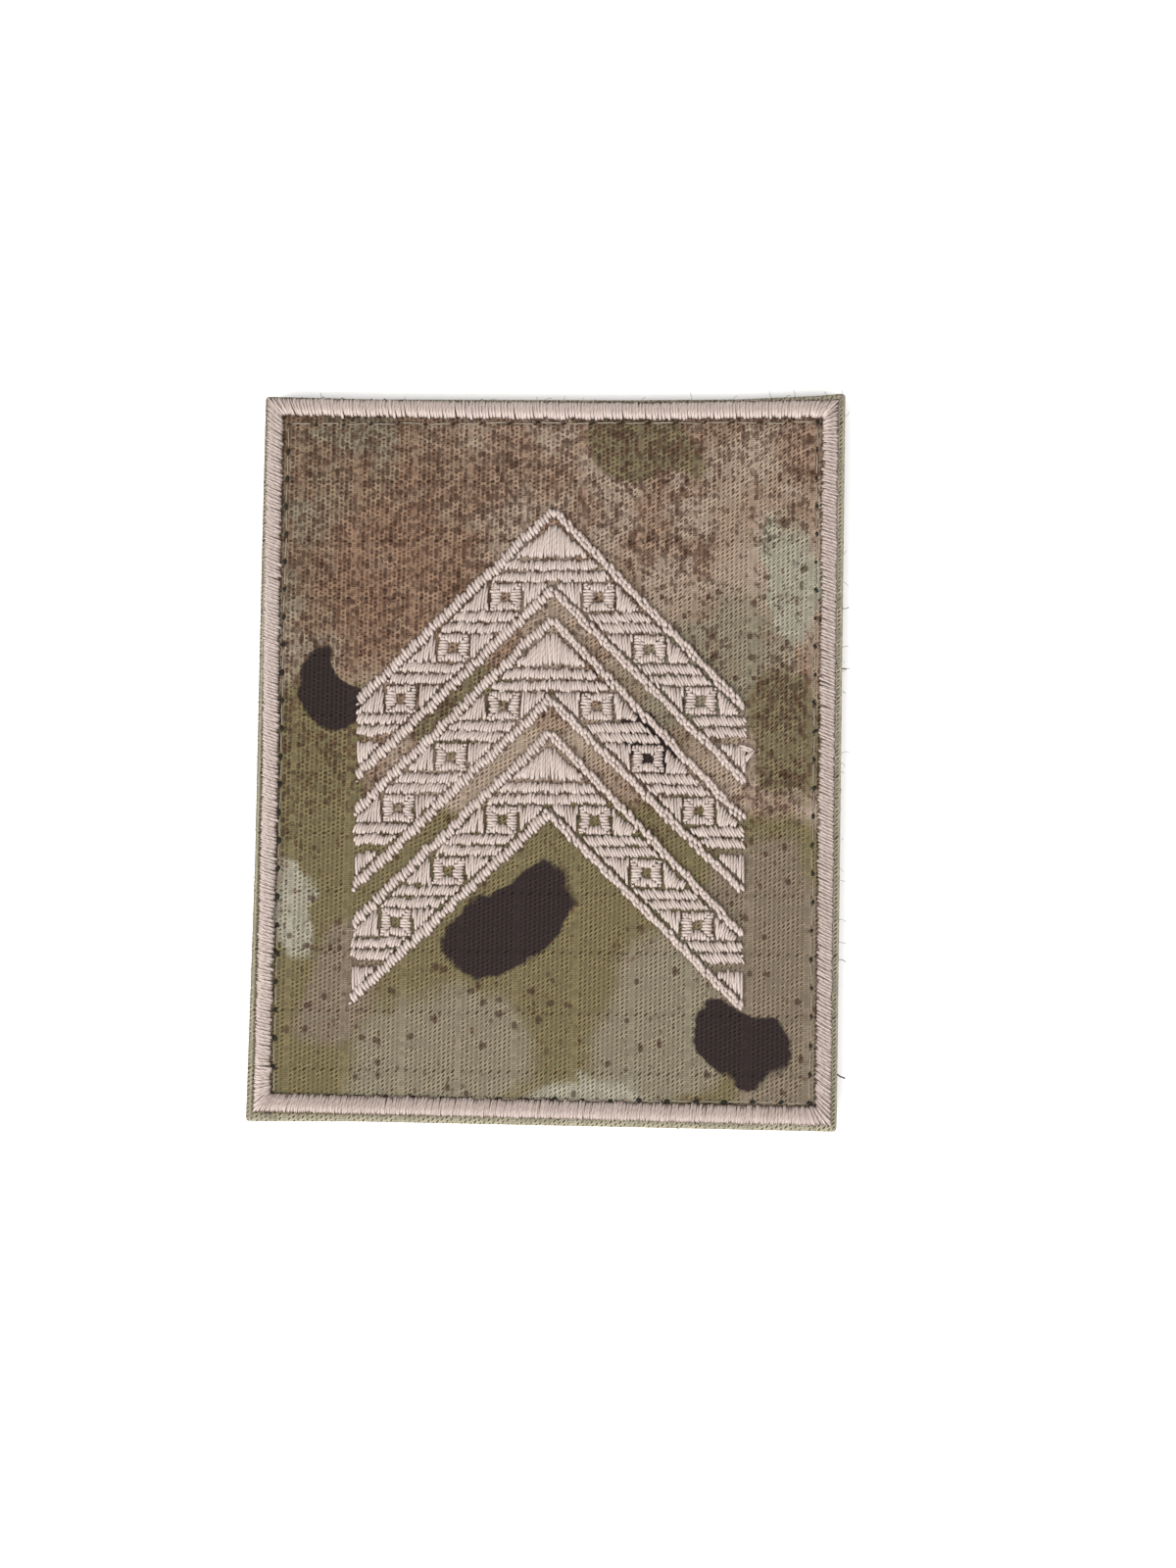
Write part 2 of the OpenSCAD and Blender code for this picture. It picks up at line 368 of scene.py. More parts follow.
# %% Draw the lit strokes
# Level yarns that a lit stroke climbs from one furrow to the next
STROKE_CLIMB = 1.5
# Where on its wave a stroke starts and where it is full, and how strong it is in a furrow
STROKE_WAVE = (0.3, -1.0)
STROKE_IN_FURROW = 0.4


def draw_stroke(bench, across, y, ridge):
    """Light of the strokes that the twist of the yarn draws, strongest on the ridges."""
    climb = bench.times(bench.minus(across, 0.5), STROKE_CLIMB)
    phase = bench.minus(bench.over(y, DIP_PITCH), climb)
    wave = bench.math("COSINE", bench.times(phase, 2 * math.pi))
    strength = bench.plus(bench.times(ridge, 1 - STROKE_IN_FURROW), STROKE_IN_FURROW)
    return bench.times(bench.step(wave, *STROKE_WAVE), strength)


# %% Work out the ripstop weave
# Distance from strong yarn to strong yarn, place of one of them, and half its width
GRID_X = {"pitch": 7.78, "start": 4.5, "half": 0.45}
GRID_Y = {"pitch": 8.05, "start": -34.6, "half": 0.16}
COLUMN_STRENGTH = 0.7
RIB_HEIGHT = 0.4
# The yarns wander a little: how quickly, and how far in millimetres
DRIFT_SCALE = 0.8
DRIFT = 0.16
# Where a ridge starts and where it is full, as shares of a yarn from the middle of the furrow
RIDGE = (0.08, 0.42)
# The least and the greatest shade of a dip, drawn by lot
DIP_LOT = (-0.2, 1.0)
DIP_SHADE = (0.2, 1.15)
STROKE_HEIGHT = 0.4


def grid_distance(bench, value, pitch, start):
    """Distance in millimetres to the nearest strong yarn."""
    turns = bench.over(bench.minus(value, start - pitch / 2), pitch)
    share = bench.minus(bench.math("FRACT", turns), 0.5)
    return bench.times(bench.math("ABSOLUTE", share), pitch)


def make_weave_group():
    """Height and shades of the weave at a place, and the middle of the float there."""
    group, bench, given, result = shared_group(
        "ripstop_weave",
        {"Place": "vector"},
        {"Height": "value", "Dip": "value", "Stroke": "value", "Tone": "value",
         "Yarn Place": "vector"},
    )
    drift = bench.scaled(bench.noise(given["Place"], DRIFT_SCALE, output="Colour"), DRIFT)
    x, y, _ = bench.split(bench.vector("ADD", given["Place"], drift))
    given_x, given_y, _ = bench.split(given["Place"])
    lean = bench.minus(given_x, bench.times(given_y, WAY_DOWN))
    # Which yarn and which float this is, and where it lies between two of them
    across = bench.over(x, YARN_PITCH)
    yarn = bench.math("FLOOR", across)
    side = bench.minus(bench.math("FRACT", across), 0.5)
    stagger = bench.times(bench.math("MODULO", yarn, 2.0), 0.5)
    along = bench.plus(bench.over(y, DIP_PITCH), stagger)
    float_count = bench.math("FLOOR", along)
    from_dip = bench.minus(bench.math("FRACT", bench.plus(along, 0.5)), 0.5)
    dx = bench.times(side, YARN_PITCH)
    dy = bench.times(from_dip, DIP_PITCH)
    # The strong yarns, upright and level. A level one takes the dips whose middles it covers
    from_column = grid_distance(bench, x, GRID_X["pitch"], GRID_X["start"])
    column = bench.step(
        from_column, GRID_X["half"] * 1.15, GRID_X["half"] * 0.85, 0.0, COLUMN_STRENGTH,
    )
    open_cloth = bench.minus(1.0, column)
    level_rib = bench.math("COSINE", bench.times(y, 4 * math.pi / DIP_PITCH))
    rib = bench.times(bench.times(level_rib, RIB_HEIGHT), column)
    from_row = grid_distance(bench, bench.minus(y, dy), GRID_Y["pitch"], GRID_Y["start"])
    row = bench.step(from_row, GRID_Y["half"], GRID_Y["half"] * 0.8)
    # Dips and furrows get painted shade, strokes get painted highlights
    ridge = bench.step(bench.math("ABSOLUTE", side), *RIDGE)
    furrow = bench.times(bench.minus(1.0, ridge), open_cloth)
    lot = bench.node("ShaderNodeTexWhiteNoise", {"Vector": bench.joined(yarn, float_count)})
    depth = bench.step(lot.outputs["Value"], *DIP_LOT, *DIP_SHADE)
    dip = bench.times(bench.times(draw_dip(bench, lean, row, dx, dy), open_cloth), depth)
    furrow_shade = bench.step(lean, *FURROWS_CHANGE, *FURROW_SHADE)
    dip = bench.math("MAXIMUM", dip, bench.times(furrow, furrow_shade))
    stroke = bench.times(draw_stroke(bench, across, y, ridge), open_cloth)
    height = bench.plus(bench.minus(bench.times(stroke, STROKE_HEIGHT), dip), rib)
    yarn_x = bench.times(bench.plus(yarn, 0.5), YARN_PITCH)
    float_y = bench.times(bench.minus(float_count, stagger), DIP_PITCH)
    bench.plug(height, result["Height"])
    bench.plug(dip, result["Dip"])
    bench.plug(stroke, result["Stroke"])
    # Tone is the lot of a float, plus painted light on the level ribs of a strong upright yarn:
    # lighter on their crests, darker between them
    bench.plug(bench.plus(lot.outputs["Value"], rib), result["Tone"])
    bench.plug(bench.joined(yarn_x, float_y), result["Yarn Place"])
    return group


weave_group = make_weave_group()
print("weave:", round(100 / YARN_PITCH), "yarns in 100 mm")

# %% [markdown]
# ## Print
# The cloth carries a mottled woodland print. It is a common kind of pattern, and this one is
# the lesson's own: soft blots on two grounds, and a fine brown speckle that thins out towards
# the lower right. A blot is an ellipse, more or less square, whose edge wanders. A table gives
# each blot its colour, place, half sizes and turn, and the later rows lie on the earlier ones.

# %% Shape a blot and a speckle
# The bar that the grain has to pass where there is no cover, how much it falls as the cover
# grows, and half the width of its soft edge
SPECKLE_BAR = 0.7
SPECKLE_FALL = 0.4
SPECKLE_SOFT = 0.04


def make_blot_group():
    """A blot: 1 inside, 0 outside, with an edge as soft as Edge."""
    group, bench, given, result = shared_group(
        "print_blot",
        {"Place": "vector", "Centre": "vector", "Half": "vector", "Turn": "value",
         "Squareness": "value", "Edge": "value"},
        {"Mask": "value"},
    )
    offset = bench.vector("SUBTRACT", given["Place"], given["Centre"])
    turned = bench.node(
        "ShaderNodeVectorRotate",
        {"Vector": offset, "Angle": bench.times(given["Turn"], -1.0)},
        rotation_type="Z_AXIS",
    ).outputs["Vector"]
    x, y, _ = bench.split(bench.vector("ABSOLUTE", bench.vector("DIVIDE", turned, given["Half"])))
    power = given["Squareness"]
    total = bench.plus(bench.math("POWER", x, power), bench.math("POWER", y, power))
    distance = bench.math("POWER", total, bench.over(1.0, power))
    outside = bench.plus(given["Edge"], 1.0)
    inside = bench.minus(1.0, given["Edge"])
    bench.plug(bench.step(distance, outside, inside), result["Mask"])
    return group


def make_speckle_group():
    """Fine grains of ink that cover more or less of the cloth."""
    group, bench, given, result = shared_group(
        "print_speckle",
        {"Place": "vector", "Cover": "value", "Fineness": "value"},
        {"Mask": "value"},
    )
    grain = bench.noise(given["Place"], given["Fineness"], detail=2.0, roughness=0.6)
    bar = bench.minus(SPECKLE_BAR, bench.times(given["Cover"], SPECKLE_FALL))
    high = bench.plus(bar, SPECKLE_SOFT)
    low = bench.minus(bar, SPECKLE_SOFT)
    bench.plug(bench.step(grain, low, high), result["Mask"])
    return group


blot_group = make_blot_group()
speckle_group = make_speckle_group()

# %% Mix the blots
INKS = {
    "tan": colour(120, 106, 93),
    "red_tan": colour(106, 87, 72),
    "rust": colour(101, 78, 62),
    "olive": colour(86, 78, 55),
    "sage": colour(100, 93, 78),
    "pale": colour(117, 113, 100),
    "pink": colour(94, 84, 71),
    "khaki": colour(87, 79, 59),
    "dark": colour(34, 26, 25),
    "brown": colour(66, 44, 33),
    "umber": colour(48, 31, 22),
    "worn": colour(124, 120, 105),
}
# Ink, centre across and up, half width and height, turn in degrees, squareness, edge
BLOTS = [
    ("olive", -2, -39, 60, 33, 4, 2.6, 0.03),
    ("sage", -30, 34, 15, 20, -8, 2.0, 0.5),
    ("red_tan", -19, 24, 12, 16, 24, 2.0, 0.5),
    ("olive", -33, -4, 9, 17, -8, 2.3, 0.12),
    ("sage", 21, 12, 13, 9, 30, 2.0, 0.35),
    ("sage", -14, -41, 13, 9, 10, 2.4, 0.13),
    ("sage", 17, -36, 9, 13, -24, 2.2, 0.14),
    ("pink", 31, -27, 8, 17, 8, 2.4, 0.12),
    ("pink", -27, -30, 5.5, 9, -30, 2.2, 0.16),
    ("pink", 33, -44, 6, 6, 5, 2.2, 0.2),
    ("khaki", 13, 43, 8.5, 4.6, -12, 2.5, 0.1),
    ("khaki", 33, 3, 4.6, 9, 12, 2.3, 0.12),
    ("khaki", -11, 6, 8, 4.5, 42, 2.2, 0.14),
    ("pale", 32.5, 24, 3.4, 8.5, 9, 2.6, 0.1),
    ("pale", -34.5, -20, 2.6, 7.5, 5, 2.4, 0.12),
    ("pale", 6, -46.5, 8, 2.6, 6, 2.4, 0.2),
    ("dark", -4.5, -22.5, 10, 5.6, 33, 2.5, 0.05),
    ("dark", 14.5, 2, 5.5, 2.6, -50, 2.3, 0.07),
    ("dark", 27, -38.5, 6.2, 4.4, -24, 2.6, 0.06),
    ("dark", -30.5, 9.5, 3.6, 5.4, 18, 2.5, 0.07),
]

# How far the edge of a blot wanders, in large curves and in small frays: scale, detail and reach
WANDER = (0.11, 3.0, 9.0)
FRAY = (1.7, 1.0, 0.7)


def stray_by(bench, place, scale, detail, reach):
    """A vector of noise that shifts a place by up to half of reach."""
    noise = bench.noise(place, scale, detail, output="Colour")
    return bench.scaled(bench.vector("SUBTRACT", noise, (0.5, 0.5, 0.5)), reach)


def mix_print(bench, place):
    """Colour of the print at a place on the cloth, before the weave shades it."""
    warped = bench.vector("ADD", place, stray_by(bench, place, *WANDER))
    warped = bench.vector("ADD", warped, stray_by(bench, place, *FRAY))
    mix = INKS["tan"]
    for ink, across, up, half_w, half_h, turn, squareness, edge in BLOTS:
        mask = bench.grouped(
            blot_group, Place=warped, Centre=(across, up, 0), Half=(half_w, half_h, 1),
            Turn=math.radians(turn), Squareness=squareness, Edge=edge,
        )["Mask"]
        mix = bench.mixed(mask, mix, INKS[ink])
    return mix


# %% Sprinkle the speckle
# Share of the cloth that the speckle covers: in the middle, what one millimetre up adds, what
# one to the right takes away, what the clumps add, and what a patch at the right edge adds
COVER = {"middle": 0.23, "up": 0.009, "right": 0.0045, "clumps": 1.4, "patch": 0.26}
COVER_LEAST = 0.03
COVER_MOST = 0.52
COVER_PATCH = {
    "Centre": (33, 2, 0), "Half": (8, 15, 1), "Turn": 0.1, "Squareness": 2.2, "Edge": 0.5,
}
RUST_SHARE = 1.1
# Each layer of speckle: fineness, share of the cover, strength and ink
SPECKLES = [(0.7, 0.65, 0.65, "brown"), (1.3, 0.85, 0.65, "umber")]
# Scattered dots: rooms for a dot per millimetre, where a dot fades out and where it is full as
# shares of its room, the lot below which a room stays empty, and strength
DOT_SCALE = 0.42
DOT_EDGE = (0.25, 0.16)
DOT_LOT = (0.38, 0.42)
DOT_STRENGTH = 0.75


def speckle_cover(bench, place):
    """Share of the cloth that the speckle covers at a place."""
    x, y, _ = bench.split(place)
    slope = bench.minus(bench.times(y, COVER["up"]), bench.times(x, COVER["right"]))
    clump = bench.minus(bench.noise(place, 0.1, 2.0), 0.5)
    cover = bench.plus(bench.plus(slope, COVER["middle"]), bench.times(clump, COVER["clumps"]))
    patch = bench.grouped(blot_group, Place=place, **COVER_PATCH)["Mask"]
    cover = bench.plus(cover, bench.times(patch, COVER["patch"]))
    return bench.math("MAXIMUM", bench.math("MINIMUM", cover, COVER_MOST), COVER_LEAST)


def sprinkle(bench, place, yarn_place, mix):
    """Brown speckle, dense at the upper left and thin at the lower right.

    The ink takes on each float of yarn at once, so the speckle follows the weave."""
    stepped = bench.vector("ADD", bench.scaled(place, 0.5), bench.scaled(yarn_place, 0.5))
    drawn = bench.vector("MULTIPLY", stepped, (1.2, 0.9, 1.0))
    cover = speckle_cover(bench, place)
    cloud = bench.step(bench.noise(place, 0.16, 3.0), 0.44, 0.56)
    rust = bench.times(bench.times(cloud, cover), RUST_SHARE)
    mix = bench.mixed(rust, mix, INKS["rust"], how="DARKEN")
    for fineness, share, strength, ink in SPECKLES:
        grains = bench.grouped(
            speckle_group, Place=drawn, Cover=bench.times(cover, share), Fineness=fineness,
        )["Mask"]
        mix = bench.mixed(bench.times(grains, strength), mix, INKS[ink], how="DARKEN")
    rooms = bench.node("ShaderNodeTexVoronoi", {"Vector": stepped, "Scale": DOT_SCALE})
    lot = bench.node("ShaderNodeSeparateColor", {"Color": rooms.outputs["Color"]}).outputs[0]
    dot = bench.step(rooms.outputs["Distance"], *DOT_EDGE)
    dot = bench.times(dot, bench.step(lot, *DOT_LOT))
    return bench.mixed(bench.times(dot, DOT_STRENGTH), mix, INKS["umber"], how="DARKEN")


# %% Rub the fold and shade the rim
# Where the rubbed fold starts and where it is full, across and up, and how pale it gets
FOLD_X = (38.8, 39.3)
FOLD_Y = (48.6, 49.1)
RUBBED = 0.75


def fade_edge(bench, place, mix):
    """The fold outside the border is rubbed pale."""
    x, y, _ = bench.split(bench.vector("ABSOLUTE", place))
    beside = bench.step(x, *FOLD_X)
    beyond = bench.step(y, *FOLD_Y)
    rubbed = bench.times(bench.math("MAXIMUM", beside, beyond), RUBBED)
    return bench.mixed(rubbed, mix, INKS["worn"])


# Where the painted shade along the inside of the border starts, where it is full, and how dark
# it gets: left, right, bottom, top
RIM = ((-36.4, -36.9, 0.2), (36.7, 37.1, 0.12), (-46.1, -46.5, 0.1), (45.4, 46.4, 0.55))
RIM_SHADE_TINT = colour(160, 146, 134)


def shade_rim(bench, place, mix):
    """Along the inside of the border the cloth is drawn down and painted darker, as shade."""
    x, y, _ = bench.split(place)
    rim = 0.0
    for value, (start, full, depth) in zip((x, x, y, y), RIM):
        rim = bench.math("MAXIMUM", rim, bench.step(value, start, full, 0.0, depth))
    rim_shade_colour = bench.mixed(1.0, mix, RIM_SHADE_TINT, how="MULTIPLY")
    return bench.mixed(rim, mix, rim_shade_colour)


# %% Put print and weave together
# Gain of the darkest and of the palest float, gain of the painted highlight on a lit stroke,
# tint of the painted shade in a dip, and depth of the weave in millimetres
FLOAT_GAIN = (0.74, 1.32)
STROKE_GAIN = 1.4
DIP_SHADE_TINT = colour(136, 122, 108)
WEAVE_DEPTH = 0.06


def make_printed_cloth():
    """Cloth whose print is shaded by its own weave."""
    material, bench, surface, place = new_material("printed_cloth", roughness=0.85, shine=0.12)
    weave = bench.grouped(weave_group, Place=place)
    mix = sprinkle(bench, place, weave["Yarn Place"], mix_print(bench, place))
    mix = fade_edge(bench, place, shade_rim(bench, place, mix))
    mix = bench.scaled(mix, bench.step(weave["Tone"], -0.4, 1.4, *FLOAT_GAIN))
    lit = bench.mixed(weave["Stroke"], mix, bench.scaled(mix, STROKE_GAIN))
    shade = bench.mixed(1.0, lit, DIP_SHADE_TINT, how="MULTIPLY")
    bench.plug(bench.mixed(weave["Dip"], lit, shade), surface.inputs["Base Color"])
    raise_surface(bench, surface, weave["Height"], WEAVE_DEPTH)
    return material


printed_cloth_material = make_printed_cloth()
print("print:", len(BLOTS), "blots")

# %% [markdown]
# ## Thread
# Embroidery thread is two or more fine strands twisted round each other, with a silky shine.
# On each stitch the mesh carries an attribute with the distance along the thread, the place
# across it and a number of its own. The twist, a slight change of shade from stitch to stitch,
# the painted shade where a thread meets the next and at the ends where it goes into the cloth,
# and the painted shade of the middle of a stitch between its lit shoulders all come from that
# attribute.

# %% Twist the thread
# Length of one turn of the strands, and how much later a turn comes at the edge of the thread,
# in turns
TWIST_LENGTH = 0.9
TWIST_SLANT = 0.45
# Each stitch has a seed of its own, which moves its twist on by up to this many turns
SEED_TURNS = 17.0
# How fine the fibres are along and across the thread, and how high next to a strand
FIBRE_ALONG = 1.6
FIBRE_ACROSS = 5.0
FIBRE_HEIGHT = 0.7


def make_twist_group():
    """Height and shade of twisted strands, from what each corner of a stitch carries."""
    group, bench, given, result = shared_group(
        "thread_twist",
        {"Thread": "vector", "Strand": "value"},
        {"Height": "value", "Shade": "value"},
    )
    along, across, seed = bench.split(given["Thread"])
    shift = bench.times(seed, SEED_TURNS)
    turns = bench.plus(bench.over(along, given["Strand"]), shift)
    turns = bench.plus(turns, bench.times(across, TWIST_SLANT))
    twist = bench.math("ABSOLUTE", bench.math("SINE", bench.times(turns, math.pi)))
    fibre_place = bench.joined(
        bench.times(along, FIBRE_ALONG), bench.times(across, FIBRE_ACROSS), shift,
    )
    fibre = bench.noise(fibre_place, 1.0, 2.0)
    bench.plug(bench.plus(twist, bench.times(fibre, FIBRE_HEIGHT)), result["Height"])
    shade = bench.plus(bench.times(twist, 0.5), bench.times(fibre, 0.5))
    bench.plug(shade, result["Shade"])
    return group


twist_group = make_twist_group()

# %% Dye the threads
# How much twist and seed change the shade of a thread
TWIST_SHADE = 0.75
SEED_SHADE = 0.35
# Tints of the painted shade in the middle of a stitch, between its lit shoulders, and of the
# painted shade between two stitches
MIDDLE_SHADE_TINT = colour(172, 158, 153)
PAINTED_SHADE_TINT = colour(172, 157, 148)
# Where the painted shade between two stitches starts, where it is full, and how deep it is: from
# the middle of a thread to its edge, and from the middle of a stitch to its end
EDGE_SHADE = (0.35, 0.95, 0.0, 0.7)
END_SHADE = (0.75, 1.0, 0.0, 0.75)
THREAD_RELIEF = 0.05


def make_thread(name, light, dark, roughness, shine, middle_shade=0.0):
    """Thread whose strands run from a light to a dark shade, painted darker where it meets the next.

    middle_shade is how much the middle of a stitch is painted darker than its two lit shoulders."""
    material, bench, surface, _ = new_material(name, roughness, shine=shine)
    thread = bench.node("ShaderNodeAttribute", attribute_name="thread_place").outputs["Vector"]
    end = bench.node("ShaderNodeAttribute", attribute_name="thread_end").outputs["Fac"]
    _, across, seed = bench.split(thread)
    twist = bench.grouped(twist_group, Thread=thread, Strand=TWIST_LENGTH)
    shade = bench.plus(bench.times(twist["Shade"], TWIST_SHADE), bench.times(seed, SEED_SHADE))
    mix = bench.mixed(shade, dark, light)
    # Painted shade in the middle of a stitch, whose shoulders catch the light
    middle = bench.step(end, 0.65, 0.1, 0.0, middle_shade)
    mix = bench.mixed(middle, mix, bench.mixed(1.0, mix, MIDDLE_SHADE_TINT, how="MULTIPLY"))
    # Painted shade where a thread meets the next and where a stitch goes into the cloth
    crevice = bench.step(bench.math("ABSOLUTE", across), *EDGE_SHADE)
    sunk = bench.math("MAXIMUM", crevice, bench.step(end, *END_SHADE))
    deep = bench.mixed(1.0, dark, PAINTED_SHADE_TINT, how="MULTIPLY")
    bench.plug(bench.mixed(sunk, mix, deep), surface.inputs["Base Color"])
    raise_surface(bench, surface, twist["Height"], THREAD_RELIEF)
    return material


satin_thread = make_thread("satin_thread", colour(170, 157, 150), colour(124, 110, 102), 0.46, 0.38)
border_thread = make_thread(
    "border_thread", colour(168, 155, 148), colour(117, 102, 95), 0.5, 0.36, middle_shade=0.25,
)
seam_thread = make_thread("seam_thread", colour(146, 135, 119), colour(67, 60, 49), 0.55, 0.3)
knot_thread = make_thread("knot_thread", colour(33, 33, 28), colour(15, 15, 12), 0.7, 0.15)
hole_shade = make_thread("hole_shade", colour(45, 36, 30), colour(25, 20, 16), 0.9, 0.0)
print("a strand turns once in", TWIST_LENGTH, "mm")

# %% [markdown]
# ## One stitch, many times
# A stitch comes up out of the cloth, lies over it in a low arch and goes down again. A few
# thousand of them are needed, so one small closed bead is made and every stitch is a copy of
# it: its poles become the two ends, and its middle is stretched along the stitch. Copies could
# be separate objects or instances, but one joined mesh for each piece is lighter.

# %% Shape the bead
BEAD_SIDES = 6
BEAD_STEPS = 8
# Power of the girth along the bead: 1 is a ball, and less makes its ends blunt
BLUNTNESS = 0.45


def shape_bead():
    """Corners of a closed bead with blunt ends, along Z from -1 to 1, and its faces."""
    bead = bmesh.new()
    bmesh.ops.create_uvsphere(bead, u_segments=BEAD_SIDES, v_segments=BEAD_STEPS, radius=1.0)
    corners = np.array([corner.co[:] for corner in bead.verts])
    faces = [[corner.index for corner in face.verts] for face in bead.faces]
    bead.free()
    girth = np.hypot(corners[:, 0], corners[:, 1])
    swell = np.where(girth > 1e-6, np.maximum(girth, 1e-6) ** (BLUNTNESS - 1), 0)
    corners[:, 0] *= swell
    corners[:, 1] *= swell
    return corners, faces


bead_corners, bead_faces = shape_bead()
print("a stitch has", len(bead_faces), "faces")

# %% Lay and join the stitches
# Share of the rise that the lowest stitches lack, and how far a stitch bends aside, at most
# half of this to either side
UNEVEN = 0.13
SWAY = 0.08


def lay_stitches(stitches, level, thickness, rise, bow, pinch=0.0):
    """Corners of all stitches, and what the thread material reads of each corner.

    A stitch is start x, start y, end x, end y, width, seed. Its middle line starts at the
    level of the cloth and arches up by rise. A higher bow gives the arch a flatter top, and
    pinch is the share of its width that a stitch loses at its ends."""
    rows = np.array(stitches)[:, None, :]
    start, end = rows[..., 0:2], rows[..., 2:4]
    width, seed = rows[..., 4], rows[..., 5]
    length = np.linalg.norm(end - start, axis=2)
    heading = (end - start) / length[..., None]
    left = np.stack([-heading[..., 1], heading[..., 0]], axis=2)
    share = (bead_corners[None, :, 2] + 1) / 2 + 0 * length
    arch = 1 - np.abs(2 * share - 1) ** bow
    bend = (np.mod(seed * 7, 1) - 0.5) * SWAY * np.sin(math.pi * share)
    ending = np.abs(2 * share - 1)
    sideways = bead_corners[None, :, 0] * width / 2 * (1 - pinch * ending ** 2) + bend
    crown = level + rise * arch * (1 - UNEVEN * (1 - seed))
    lift = crown + bead_corners[None, :, 1] * thickness / 2
    flat = start + heading * (share * length)[..., None] + left * sideways[..., None]
    corners = np.concatenate([flat, lift[..., None]], axis=2)
    breadth = bead_corners[None, :, 0] + 0 * length
    thread = np.stack([share * length, breadth, seed + 0 * share], axis=2)
    return corners.reshape(-1, 3), thread.reshape(-1, 3), ending.reshape(-1)


def join_copies(name, corners, faces, copies, extras, material):
    """One mesh of many copies of a small shape, with its point attributes."""
    stride = len(corners) // copies
    all_faces = [[corner + k * stride for corner in face] for k in range(copies) for face in faces]
    mesh = bpy.data.meshes.new(name)
    mesh.from_pydata((corners * MM).tolist(), [], all_faces)
    for title, (kind, channel, values) in extras.items():
        layer = mesh.attributes.new(title, kind, "POINT")
        layer.data.foreach_set(channel, np.ascontiguousarray(values, dtype=np.float32).ravel())
    mesh.polygons.foreach_set("use_smooth", [True] * len(mesh.polygons))
    mesh.materials.append(material)
    mesh.validate()
    return put_in_scene(name, mesh)


def sew(name, batches, material):
    """A piece made of batches of stitches, each with its own height and arch."""
    laid = [lay_stitches(**batch) for batch in batches]
    corners, thread, ending = (np.concatenate(part) for part in zip(*laid))
    count = sum(len(batch["stitches"]) for batch in batches)
    extras = {"thread_place": ("FLOAT_VECTOR", "vector", thread),
              "thread_end": ("FLOAT", "value", ending)}
    print(name, "has", count, "stitches")
    return join_copies(name, corners, bead_faces, count, extras, material)


# %% [markdown]
# ## Cloth panel
# The ground is one layer of cloth whose edges are turned under, so the patch has a soft round
# edge and is thicker than one layer. A cube would do for its size but not for its outline: the
# upper edge sags and the left one leans in. A grid is pulled to that outline, given its wall,
# and rounded all round, and the stitching draws the face down a little where it runs.

# %% Draw the outline of the cloth
PATCH_HALF_W = 40
PATCH_HALF_H = 50
BORDER_UP = 0.7
FACE_Z = cad_high.z / MM - BORDER_UP
CLOTH_T = 1.2
# Lines of the seam that holds the tape
SEAM_LEFT = -36.2
SEAM_RIGHT = 36.3
SEAM_TOP = 45.9
SEAM_BOTTOM = -46.3
# How far the edge stays inside the full rectangle, at places from -1 to 1 along that edge
TOP_SAG = [(-1, 0.15), (-0.62, 0.6), (0.25, 0.85), (0.62, 0.8), (0.9, 0.35), (1, 0)]
BOTTOM_SAG = [(-1, 0.1), (-0.62, 0.3), (0.3, 0.15), (1, 0)]
LEFT_SAG = [(-1, 0), (-0.3, 0.3), (0.5, 0.1), (1, 0.05)]
RIGHT_SAG = [(-1, 0.1), (1, 0)]


def sag(table, share):
    """How far an edge stays inside at a share of its length."""
    places, depths = zip(*table)
    return float(np.interp(share, places, depths))


def on_outline(u, v):
    """Place on the cloth of a point of the unit square, from -1 to 1 each way."""
    side = sag(RIGHT_SAG if u > 0 else LEFT_SAG, v)
    end = sag(TOP_SAG if v > 0 else BOTTOM_SAG, u)
    return (u * (PATCH_HALF_W - side * abs(u)), v * (PATCH_HALF_H - end * abs(v)))


print("the face of the cloth lies at", round(FACE_Z, 2), "mm")

# %% Make the cloth panel
PANEL_CELLS = (96, 120)
PANEL_ROUNDING = CLOTH_T * 0.48
# An edge that bends by more than this, in degrees, is part of the rim of a sheet
RIM_BEND = 60
# How deep the seam draws the face down and how far to its sides, how deep the face lies
# elsewhere, and how much that goes up and down
PUCKER_DEPTH = 0.1
PUCKER_REACH = 0.7
FACE_DOWN = 0.03
SWELL = 0.03


def pucker(x, y):
    """How far the stitching draws the face down, in millimetres."""
    near_x = min(abs(x - SEAM_LEFT), abs(x - SEAM_RIGHT))
    near_y = min(abs(y - SEAM_TOP), abs(y - SEAM_BOTTOM))
    seam = PUCKER_DEPTH * math.exp(-(min(near_x, near_y) / PUCKER_REACH) ** 2)
    swell = SWELL * math.sin(x * 0.31 + 1.3 * math.sin(y * 0.12)) * math.sin(y * 0.23)
    return seam + FACE_DOWN + swell


def thicken(shape, thickness, top, rounding, segments):
    """Gives a flat grid its thickness below the height top, and rounds its rim."""
    bmesh.ops.solidify(shape, geom=shape.faces[:], thickness=thickness * MM)
    highest = max(corner.co.z for corner in shape.verts)
    bmesh.ops.translate(shape, vec=(0, 0, top * MM - highest), verts=shape.verts)
    bmesh.ops.recalc_face_normals(shape, faces=shape.faces)
    rim = [edge for edge in shape.edges
           if edge.is_manifold and edge.calc_face_angle(0) > math.radians(RIM_BEND)]
    bmesh.ops.bevel(shape, geom=rim, offset=rounding * MM, segments=segments, profile=0.5,
                    affect="EDGES", material=-1)
    for face in shape.faces:
        face.smooth = True


